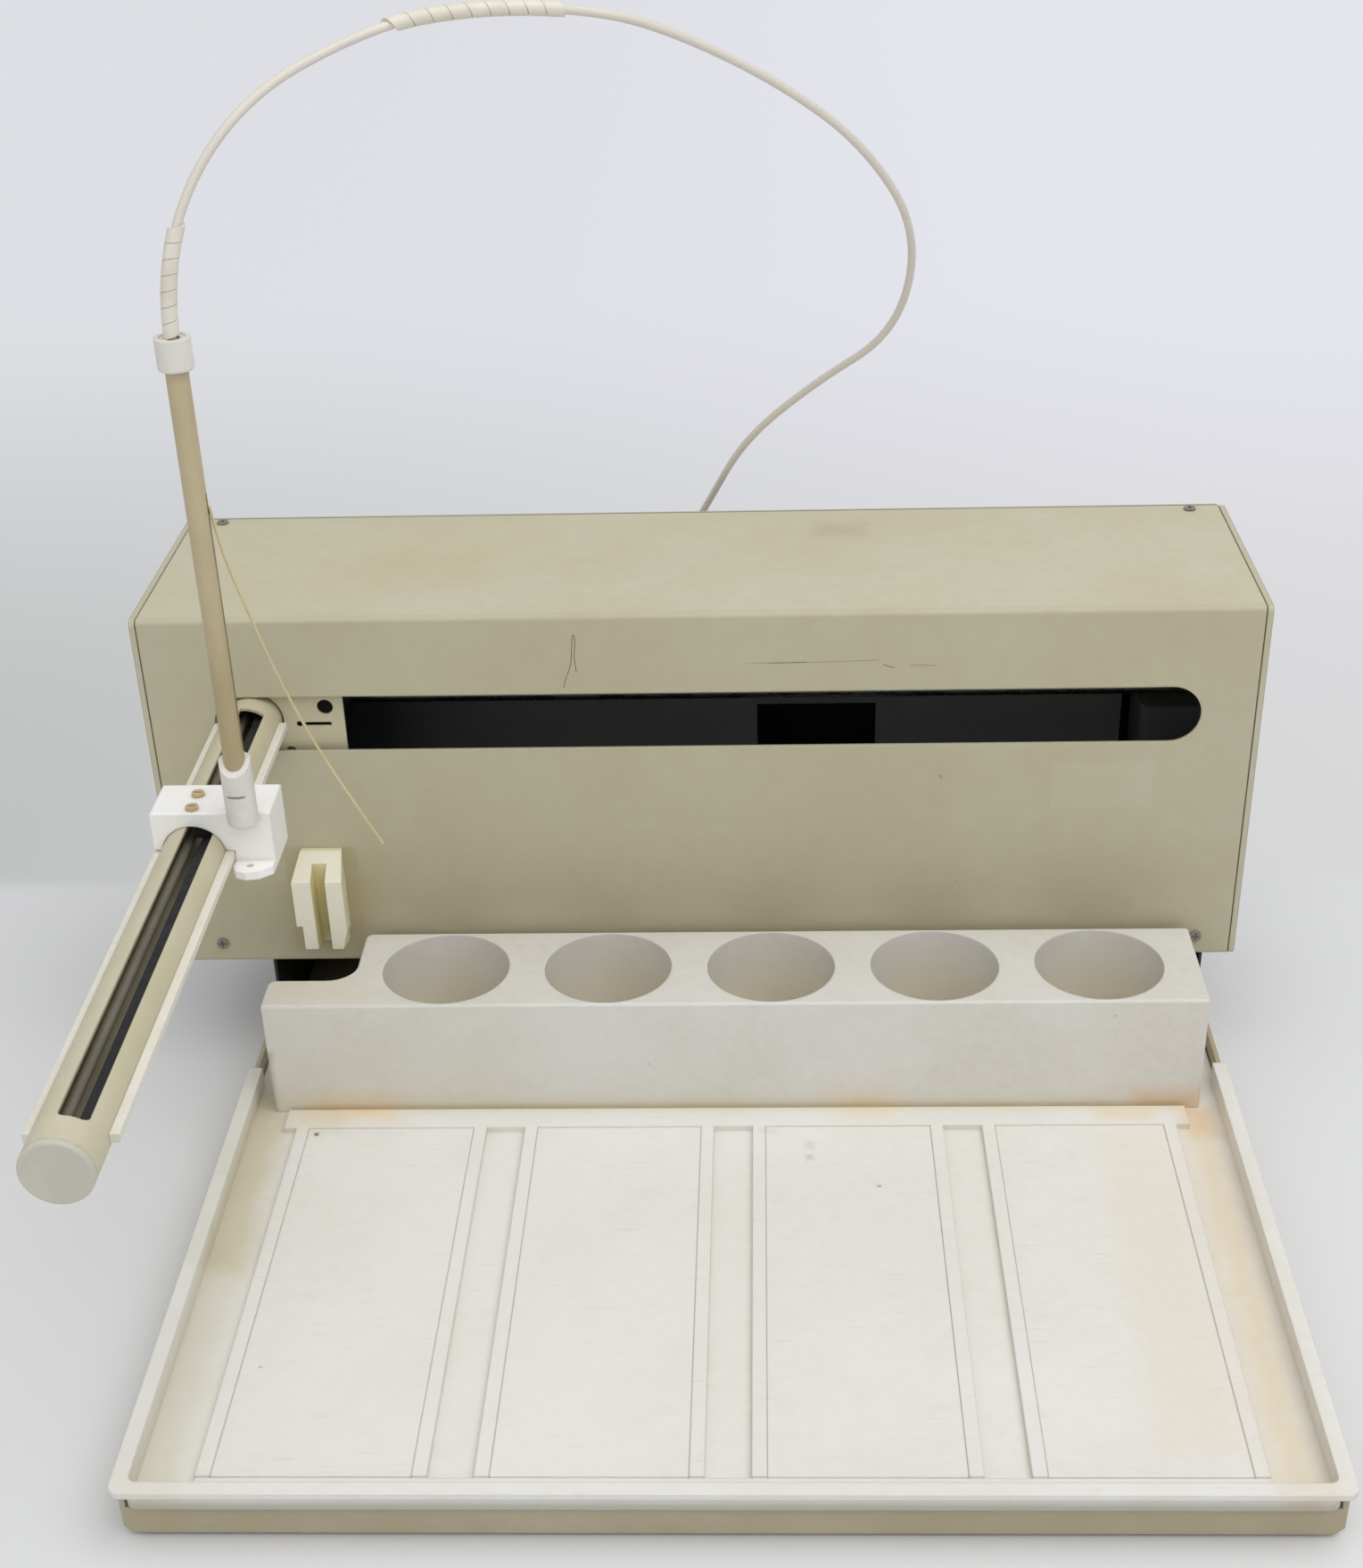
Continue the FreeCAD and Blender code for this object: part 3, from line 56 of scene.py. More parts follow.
cameraLook = {
    "place": (0.0354, -0.9117, 0.7285),
    "pitchDown": 30.83, "turnLeft": 2.38, "roll": -1.71,
    "focalPixels": 2470.2, "photoSize": (1528, 1758), "axisPixel": (773.1, 994.0),
    "sensor": 36, "clip": (0.02, 60),
}
longSide = max(cameraLook["photoSize"])
bpy.ops.object.camera_add(location=(0, 0, 0))
camera = bpy.context.active_object
camera.name = "photoCamera"
camera.data.sensor_width = cameraLook["sensor"]
camera.data.lens = cameraLook["focalPixels"] * cameraLook["sensor"] / longSide
camera.data.shift_x = (cameraLook["photoSize"][0] / 2 - cameraLook["axisPixel"][0]) / longSide
camera.data.shift_y = (cameraLook["axisPixel"][1] - cameraLook["photoSize"][1] / 2) / longSide
camera.data.clip_start, camera.data.clip_end = cameraLook["clip"]
camera.matrix_world = (
    Matrix.Translation(cameraLook["place"])
    @ Matrix.Rotation(math.radians(cameraLook["turnLeft"]), 4, "Z")
    @ Matrix.Rotation(math.radians(90 - cameraLook["pitchDown"]), 4, "X")
    @ Matrix.Rotation(math.radians(cameraLook["roll"]), 4, "Z")
)
scene.camera = camera
scene.view_settings.view_transform = "Standard"


def rgb(code):
    # a colour as it looks on screen, six hex digits, to linear light
    parts = [int(code[i:i + 2], 16) / 255 for i in (0, 2, 4)]
    linear = [p / 12.92 if p <= 0.04045 else ((p + 0.055) / 1.055) ** 2.4 for p in parts]
    return (*linear, 1.0)


def addNode(tree, kind, inputs=None, **fields):
    made = tree.nodes.new(kind)
    for name, value in fields.items():
        setattr(made, name, value)
    for name, value in (inputs or {}).items():
        socket = made.inputs[name]
        if isinstance(value, bpy.types.NodeSocket):
            tree.links.new(value, socket)
        else:
            socket.default_value = value
    return made


def mixColour(tree, share, first, second):
    return addNode(tree, "ShaderNodeMix", {0: share, 6: first, 7: second}, data_type="RGBA").outputs[2]


def sums(tree, operation, first, second=0.0):
    return addNode(tree, "ShaderNodeMath", {0: first, 1: second}, operation=operation).outputs[0]


def vectors(tree, operation, first, second=(0, 0, 0)):
    return addNode(tree, "ShaderNodeVectorMath", {0: first, 1: second}, operation=operation).outputs[0]


def objectSpot(tree):
    return addNode(tree, "ShaderNodeTexCoord").outputs["Object"]


def spread(tree, value, low, high, toLow=0.0, toHigh=1.0):
    return addNode(tree, "ShaderNodeMapRange", {
        "Value": value, "From Min": low, "From Max": high, "To Min": toLow, "To Max": toHigh,
    }, interpolation_type="SMOOTHSTEP").outputs["Result"]


stageLook = {
    "size": 16.0, "table": "e3e4e6", "tableRough": 0.85, "tableGloss": 0.2,
    # the wall's glow starts behind the housing, between these two places in Y, and changes up to the rise;
    # this glowing wall is painted light, darker low down and on the left as painted shadow
    "line": (0.306, 0.330), "rise": 1.7, "sides": (-0.7, 0.7),
    "shadowedLowLeft": "bec0bf", "shadowedLowRight": "dadadb", "highLeft": "dedfe4", "highRight": "e5e5ee",
    "worldLight": 0.61, "horizon": 0.60, "fullHeight": 0.8,
    "lamps": {
        "ceilingLamp": {"power": 34.5, "size": 2.5, "place": (0.70, -0.75, 2.30)},
        "fillLamp": {"power": 6.4, "size": 2.0, "place": (-1.4, -1.9, 1.1)},
    },
    "lampAim": (0, 0, 0.1),
}


def buildTable(look):
    bpy.ops.mesh.primitive_plane_add(size=look["size"], location=(0, 0, 0))
    table = bpy.context.active_object
    table.name = "tableTop"
    paint = bpy.data.materials.new("tableAndWall")
    paint.use_nodes = True
    tree = paint.node_tree
    shader = tree.nodes["Principled BSDF"]
    shader.inputs["Roughness"].default_value = look["tableRough"]
    shader.inputs["Specular IOR Level"].default_value = look["tableGloss"]
    shader.inputs["Base Color"].default_value = rgb(look["table"])
    place = addNode(tree, "ShaderNodeSeparateXYZ", {0: objectSpot(tree)}).outputs
    back = spread(tree, place["Y"], *look["line"])
    side = spread(tree, place["X"], *look["sides"])
    # the wall glows as an emission; its colour is a painted shadow, darker low down and on the left
    low = mixColour(tree, side, rgb(look["shadowedLowLeft"]), rgb(look["shadowedLowRight"]))
    high = mixColour(tree, side, rgb(look["highLeft"]), rgb(look["highRight"]))
    wall = mixColour(tree, spread(tree, place["Y"], look["line"][0], look["rise"]), low, high)
    glow = addNode(tree, "ShaderNodeEmission", {"Color": wall})
    both = addNode(tree, "ShaderNodeMixShader", {0: back, 1: shader.outputs[0], 2: glow.outputs[0]})
    tree.links.new(both.outputs[0], tree.nodes["Material Output"].inputs["Surface"])
    table.data.materials.append(paint)


def buildRoom(look):
    # the room's light on the object, and the pale backdrop that only the camera sees
    world = bpy.data.worlds.new("softRoom")
    scene.world = world
    world.use_nodes = True
    tree = world.node_tree
    room = tree.nodes["Background"]
    room.inputs["Color"].default_value = (1, 1, 1, 1)
    way = addNode(tree, "ShaderNodeTexCoord").outputs["Generated"]
    height = addNode(tree, "ShaderNodeSeparateXYZ", {0: way}).outputs["Z"]
    atHorizon = look["worldLight"] * look["horizon"]
    strength = spread(tree, height, 0.0, look["fullHeight"], atHorizon, look["worldLight"])
    tree.links.new(strength, room.inputs["Strength"])
    seen = addNode(tree, "ShaderNodeLightPath").outputs["Is Camera Ray"]
    pale = addNode(tree, "ShaderNodeBackground", {"Color": rgb(look["highLeft"]), "Strength": 1.0})
    choose = addNode(tree, "ShaderNodeMixShader", {0: seen, 1: room.outputs[0], 2: pale.outputs[0]})
    tree.links.new(choose.outputs[0], tree.nodes["World Output"].inputs["Surface"])


def addLamps(look):
    for name, values in look["lamps"].items():
        bpy.ops.object.light_add(type="AREA", location=values["place"])
        lamp = bpy.context.active_object
        lamp.name = name
        lamp.data.energy = values["power"]
        lamp.data.size = values["size"]
        aim = Vector(look["lampAim"]) - Vector(values["place"])
        lamp.rotation_euler = aim.to_track_quat("-Z", "Y").to_euler()


buildTable(stageLook)
buildRoom(stageLook)
addLamps(stageLook)
print("camera, table and lamps in place")


# shader node groups shared by the finishes

def newGroup(name, inputs, outputs):
    group = bpy.data.node_groups.new(name, "ShaderNodeTree")
    for label, kind, value in inputs:
        socket = group.interface.new_socket(name=label, in_out="INPUT", socket_type="NodeSocket" + kind)
        socket.default_value = value
    for label, kind in outputs:
        group.interface.new_socket(name=label, in_out="OUTPUT", socket_type="NodeSocket" + kind)
    source = group.nodes.new("NodeGroupInput")
    result = group.nodes.new("NodeGroupOutput")
    return group, source.outputs, result.inputs


def buildSurfaceGrain():
    group, given, out = newGroup(
        "surfaceGrain",
        [("Grain Scale", "Float", 1500.0), ("Mottle Scale", "Float", 16.0)],
        [("Height", "Float"), ("Mottle", "Float"), ("Fine", "Float")])
    spot = objectSpot(group)
    grain = addNode(group, "ShaderNodeTexNoise", {
        "Vector": spot, "Scale": given["Grain Scale"], "Detail": 2.0, "Roughness": 0.6})
    mottle = addNode(group, "ShaderNodeTexNoise", {
        "Vector": spot, "Scale": given["Mottle Scale"], "Detail": 5.0, "Roughness": 0.6})
    fine = addNode(group, "ShaderNodeTexNoise", {
        "Vector": spot, "Scale": sums(group, "MULTIPLY", given["Mottle Scale"], 14.0), "Detail": 3.0})
    group.links.new(grain.outputs["Fac"], out["Height"])
    group.links.new(spread(group, mottle.outputs["Fac"], 0.36, 0.64), out["Mottle"])
    group.links.new(spread(group, fine.outputs["Fac"], 0.35, 0.65), out["Fine"])
    return group


def buildPlacedPatch():
    group, given, out = newGroup(
        "placedPatch",
        [("Centre", "Vector", (0, 0, 0)), ("Half", "Vector", (0.01, 0.01, 0.01)), ("Soft", "Float", 0.005),
         ("Ragged", "Float", 0.0), ("Ragged Scale", "Float", 60.0)],
        [("Mask", "Float")])
    spot = objectSpot(group)
    noise = addNode(group, "ShaderNodeTexNoise", {
        "Vector": spot, "Scale": given["Ragged Scale"], "Detail": 4.0, "Roughness": 0.6})
    centred = vectors(group, "SUBTRACT", noise.outputs["Color"], (0.5, 0.5, 0.5))
    wander = addNode(group, "ShaderNodeVectorMath", {
        0: centred, "Scale": given["Ragged"]}, operation="SCALE").outputs[0]
    fromCentre = vectors(group, "SUBTRACT", vectors(group, "ADD", spot, wander), given["Centre"])
    away = vectors(group, "SUBTRACT", vectors(group, "ABSOLUTE", fromCentre), given["Half"])
    axes = addNode(group, "ShaderNodeSeparateXYZ", {0: away}).outputs
    far = sums(group, "MAXIMUM", sums(group, "MAXIMUM", axes["X"], axes["Y"]), axes["Z"])
    low = sums(group, "MULTIPLY", given["Soft"], -1.0)
    group.links.new(spread(group, far, low, given["Soft"], 1.0, 0.0), out["Mask"])
    return group


def buildSpecks():
    group, given, out = newGroup(
        "specks",
        [("Scale", "Float", 120.0), ("Size", "Float", 0.12), ("Amount", "Float", 0.05)],
        [("Mask", "Float")])
    spot = objectSpot(group)
    cells = addNode(group, "ShaderNodeTexVoronoi", {"Vector": spot, "Scale": given["Scale"]})
    chance = addNode(group, "ShaderNodeSeparateColor", {0: cells.outputs["Color"]}).outputs[0]
    picked = sums(group, "LESS_THAN", chance, given["Amount"])
    dot = sums(group, "LESS_THAN", cells.outputs["Distance"], given["Size"])
    group.links.new(sums(group, "MULTIPLY", picked, dot), out["Mask"])
    return group


def buildScratches():
    group, given, out = newGroup(
        "scratches",
        [("Stretch", "Vector", (1.0, 1.0, 12.0)), ("Scale", "Float", 90.0), ("Level", "Float", 0.7)],
        [("Mask", "Float")])
    spot = objectSpot(group)
    pulled = vectors(group, "MULTIPLY", spot, given["Stretch"])
    noise = addNode(group, "ShaderNodeTexNoise", {
        "Vector": pulled, "Scale": given["Scale"], "Detail": 2.0, "Roughness": 0.5, "Distortion": 0.4})
    top = sums(group, "ADD", given["Level"], 0.08)
    group.links.new(spread(group, noise.outputs["Fac"], given["Level"], top), out["Mask"])
    return group


# a rounded-edge normal, and a mask for the finish's edge colour: mostly lighter than the face, a painted
# highlight on the edges, partly edge wear
def buildEdgeHighlightAndWear():
    group, given, out = newGroup(
        "edgeHighlightAndWear", [("Radius", "Float", 0.0008)], [("Mask", "Float"), ("Normal", "Vector")])
    rounded = addNode(group, "ShaderNodeBevel", {"Radius": given["Radius"]}, samples=4)
    flat = addNode(group, "ShaderNodeNewGeometry").outputs["Normal"]
    match = addNode(group, "ShaderNodeVectorMath", {
        0: rounded.outputs[0], 1: flat}, operation="DOT_PRODUCT")
    group.links.new(spread(group, match.outputs["Value"], 0.995, 0.80), out["Mask"])
    group.links.new(rounded.outputs[0], out["Normal"])
    return group


# tints hollows found by ambient occlusion: painted shade in creases, gaps and screw recesses, with
# yellowing dirt in the plastics' gutters
def buildCreviceDirtAndShade():
    group, given, out = newGroup(
        "creviceDirtAndShade", [("Reach", "Float", 0.02), ("Scale", "Float", 40.0)], [("Mask", "Float")])
    shade = addNode(group, "ShaderNodeAmbientOcclusion", {"Distance": given["Reach"]}, samples=6)
    spot = objectSpot(group)
    noise = addNode(group, "ShaderNodeTexNoise", {"Vector": spot, "Scale": given["Scale"], "Detail": 4.0})
    hidden = spread(group, shade.outputs["AO"], 0.92, 0.45)
    uneven = spread(group, noise.outputs["Fac"], 0.3, 0.7, 0.45, 1.0)
    group.links.new(sums(group, "MULTIPLY", hidden, uneven), out["Mask"])
    return group


def buildWellDepth():
    # how deep a point lies in the row of round wells, for the wells' painted shade
    group, given, out = newGroup(
        "wellDepth",
        [("First", "Float", 0.0), ("Pitch", "Float", 0.1), ("Row", "Float", 0.0), ("Radius", "Float", 0.03),
         ("Top", "Float", 0.09), ("Floor", "Float", 0.03)],
        [("Mask", "Float")])
    spot = objectSpot(group)
    place = addNode(group, "ShaderNodeSeparateXYZ", {0: spot}).outputs
    along = sums(group, "DIVIDE", sums(group, "SUBTRACT", place["X"], given["First"]), given["Pitch"])
    along = sums(group, "FRACT", sums(group, "ADD", along, 0.5))
    across = sums(group, "MULTIPLY", sums(group, "SUBTRACT", along, 0.5), given["Pitch"])
    ahead = sums(group, "SUBTRACT", place["Y"], given["Row"])
    acrossSquare = sums(group, "MULTIPLY", across, across)
    aheadSquare = sums(group, "MULTIPLY", ahead, ahead)
    radiusSquare = sums(group, "MULTIPLY", given["Radius"], given["Radius"])
    inside = sums(group, "LESS_THAN", sums(group, "ADD", acrossSquare, aheadSquare), radiusSquare)
    depth = spread(group, place["Z"], given["Top"], given["Floor"])
    group.links.new(sums(group, "MULTIPLY", inside, depth), out["Mask"])
    return group


groups = {
    "wells": buildWellDepth(), "grain": buildSurfaceGrain(), "patch": buildPlacedPatch(),
    "specks": buildSpecks(), "scratches": buildScratches(), "edge": buildEdgeHighlightAndWear(),
    "creviceDirtAndShade": buildCreviceDirtAndShade(),
}
bumpStrength = 0.6


def placeGroup(tree, name, inputs):
    made = tree.nodes.new("ShaderNodeGroup")
    made.node_tree = groups[name]
    for label, value in inputs.items():
        made.inputs[label].default_value = value
    return made.outputs


def overlay(tree, colour, groupName, values, strength, code):
    # lays a colour over the one below where the group's mask is
    mask = placeGroup(tree, groupName, values)["Mask"]
    return mixColour(tree, sums(tree, "MULTIPLY", mask, strength), colour, rgb(code))


def makeFinish(name, look):
    material = bpy.data.materials.new(name)
    material.use_nodes = True
    tree = material.node_tree
    shader = tree.nodes["Principled BSDF"]
    for label, value in look.get("shader", {}).items():
        shader.inputs[label].default_value = value
    grain = placeGroup(tree, "grain", {"Grain Scale": look["grain"], "Mottle Scale": look["mottleScale"]})
    share = sums(tree, "MULTIPLY", grain["Mottle"], look["mottleShare"])
    colour = mixColour(tree, share, rgb(look["base"]), rgb(look["mottle"]))
    share = sums(tree, "MULTIPLY", grain["Fine"], look.get("fineShare", 0.25))
    colour = mixColour(tree, share, colour, rgb(look.get("fine", look["mottle"])))
    for centre, half, soft, ragged, code, strength in look.get("patches", ()):
        patch = {"Centre": centre, "Half": half, "Soft": soft, "Ragged": ragged}
        colour = overlay(tree, colour, "patch", patch, strength, code)
    # the wells' walls turn warmer and tan towards the bottom: painted shade
    if "wells" in look:
        code, strength, row = look["wells"]
        colour = overlay(tree, colour, "wells", row, strength, code)
    # hollows darkened by ambient occlusion: painted shade, partly yellowing dirt
    if "creviceDirtAndShade" in look:
        code, strength, reach = look["creviceDirtAndShade"]
        colour = overlay(tree, colour, "creviceDirtAndShade", {"Reach": reach}, strength, code)
    if "specks" in look:
        code, strength, scale, size, amount = look["specks"]
        speck = {"Scale": scale, "Size": size, "Amount": amount}
        colour = overlay(tree, colour, "specks", speck, strength, code)
    if "scratches" in look:
        code, strength, stretch, scale, level = look["scratches"]
        scratch = {"Stretch": stretch, "Scale": scale, "Level": level}
        colour = overlay(tree, colour, "scratches", scratch, strength, code)
    bumpIn = {"Height": grain["Height"], "Distance": look["bump"], "Strength": bumpStrength}
    # edges take the edge colour: painted highlight, partly wear
    if "edge" in look:
        code, strength, radius = look["edge"]
        edgeGroup = placeGroup(tree, "edge", {"Radius": radius})
        colour = mixColour(tree, sums(tree, "MULTIPLY", edgeGroup["Mask"], strength), colour, rgb(code))
        bumpIn["Normal"] = edgeGroup["Normal"]
    tree.links.new(colour, shader.inputs["Base Color"])
    rough = spread(tree, grain["Mottle"], 0.0, 1.0, *look["rough"])
    tree.links.new(rough, shader.inputs["Roughness"])
    bump = addNode(tree, "ShaderNodeBump", bumpIn)
    tree.links.new(bump.outputs[0], shader.inputs["Normal"])
    return material


# the finishes: colours, grain, wear, painted shade and painted highlights of each material
# a stain, mark or patch of painted shade: centre, half size, softness, raggedness, colour, strength

trayStainsAndShade = [
    ((-0.188, 0.0355, 0.0254), (0.016, 0.002, 0.004), 0.017, 0.014, "f3c98c", 0.95),
    ((0.02, 0.0350, 0.0254), (0.236, 0.001, 0.004), 0.008, 0.006, "e8d8b0", 0.75),
    ((0.085, 0.0350, 0.0254), (0.004, 0.001, 0.004), 0.022, 0.012, "ecd2a0", 0.80),
    ((0.262, 0.026, 0.024), (0.006, 0.012, 0.010), 0.008, 0.008, "d8a878", 0.60),
    ((0.222, 0.028, 0.0254), (0.014, 0.004, 0.004), 0.006, 0.006, "e8cf96", 0.50),
    # the left gutter greyer and yellower: painted shade, partly yellowing
    ((-0.236, -0.02, 0.022), (0.012, 0.070, 0.006), 0.012, 0.012, "c6bd98", 0.75),
    ((-0.236, -0.16, 0.022), (0.012, 0.090, 0.006), 0.014, 0.012, "cfc8ae", 0.60),
    ((0.260, -0.12, 0.024), (0.008, 0.150, 0.010), 0.012, 0.012, "dcc8a0", 0.60),
    ((-0.205, 0.026, 0.0254), (0.012, 0.008, 0.004), 0.012, 0.010, "d6cdb0", 0.55),
    ((0.222, -0.10, 0.0254), (0.014, 0.110, 0.004), 0.016, 0.014, "e6d6b4", 0.45),
    ((0.090, -0.031, 0.025), (0.0010, 0.0008, 0.004), 0.0006, 0.001, "8f8676", 0.7),
    ((0.0340, 0.0150, 0.025), (0.0030, 0.0004, 0.004), 0.0040, 0.004, "c4beb0", 0.6),
    ((0.0560, 0.0030, 0.025), (0.0020, 0.0030, 0.004), 0.0025, 0.002, "cfcac0", 0.6),
    ((0.0555, -0.0070, 0.025), (0.0015, 0.0020, 0.004), 0.0020, 0.002, "b9b3a8", 0.6),
    ((-0.2450, -0.0430, 0.022), (0.0016, 0.0014, 0.006), 0.0016, 0.001, "8a8668", 0.6),
    ((-0.2041, 0.0146, 0.0250), (0.0008, 0.0008, 0.002), 0.0016, 0.0008, "3d372f", 0.85),
    # the skirt under the front lip greyer, with a dark line at its foot: painted shade under the lip
    ((0.016, -0.2440, 0.0200), (0.28, 0.0025, 0.0035), 0.0030, 0.0006, "aca695", 0.80),
    ((0.016, -0.2440, 0.0194), (0.28, 0.0030, 0.0005), 0.0008, 0.0006, "85744c", 0.80),
]
blockStains = [
    ((-0.188, 0.0378, 0.022), (0.016, 0.004, 0.002), 0.017, 0.014, "ecb669", 0.95),
    ((0.02, 0.0378, 0.022), (0.240, 0.004, 0.001), 0.012, 0.008, "dccb9c", 0.80),
    ((0.085, 0.0378, 0.022), (0.006, 0.004, 0.001), 0.022, 0.010, "e2c590", 0.80),
    ((-0.17, 0.0378, 0.045), (0.060, 0.004, 0.020), 0.035, 0.02, "cfc9b0", 0.45),
    ((0.245, 0.05, 0.026), (0.016, 0.02, 0.006), 0.010, 0.010, "d3a070", 0.6),
    ((-0.205, 0.055, 0.092), (0.024, 0.008, 0.006), 0.016, 0.02, "d8c9a8", 0.45),
    ((-0.2310, 0.050, 0.040), (0.0015, 0.02, 0.020), 0.004, 0.004, "8a6c4a", 0.7),
]
wellRow = {
    "First": -0.137, "Pitch": 0.08675, "Row": 0.0734, "Radius": 0.0343, "Top": 0.0902, "Floor": 0.050,
}
paintMarksAndShade = [
    # the whole front face darker than the top: painted shade
    ((0.0, 0.114, 0.175), (0.30, 0.003, 0.110), 0.004, 0.0, "a39b7a", 0.30),
    # the lower front band darker and more olive: painted shade
    ((0.0, 0.114, 0.100), (0.26, 0.012, 0.020), 0.035, 0.03, "9c9370", 0.30),
    ((0.211, 0.114, 0.1758), (0.0266, 0.004, 0.0136), 0.0006, 0.0006, "d2ccb8", 0.17),
    # darker round and between the rinse bracket's legs: painted shade
    ((-0.2065, 0.114, 0.1097), (0.0196, 0.004, 0.0331), 0.0005, 0.0006, "b3a47c", 0.40),
    ((0.0760, 0.225, 0.276), (0.012, 0.008, 0.004), 0.010, 0.01, "b0a080", 0.5),
    ((-0.145, 0.18, 0.276), (0.030, 0.02, 0.004), 0.02, 0.03, "c0b48c", 0.4),
]

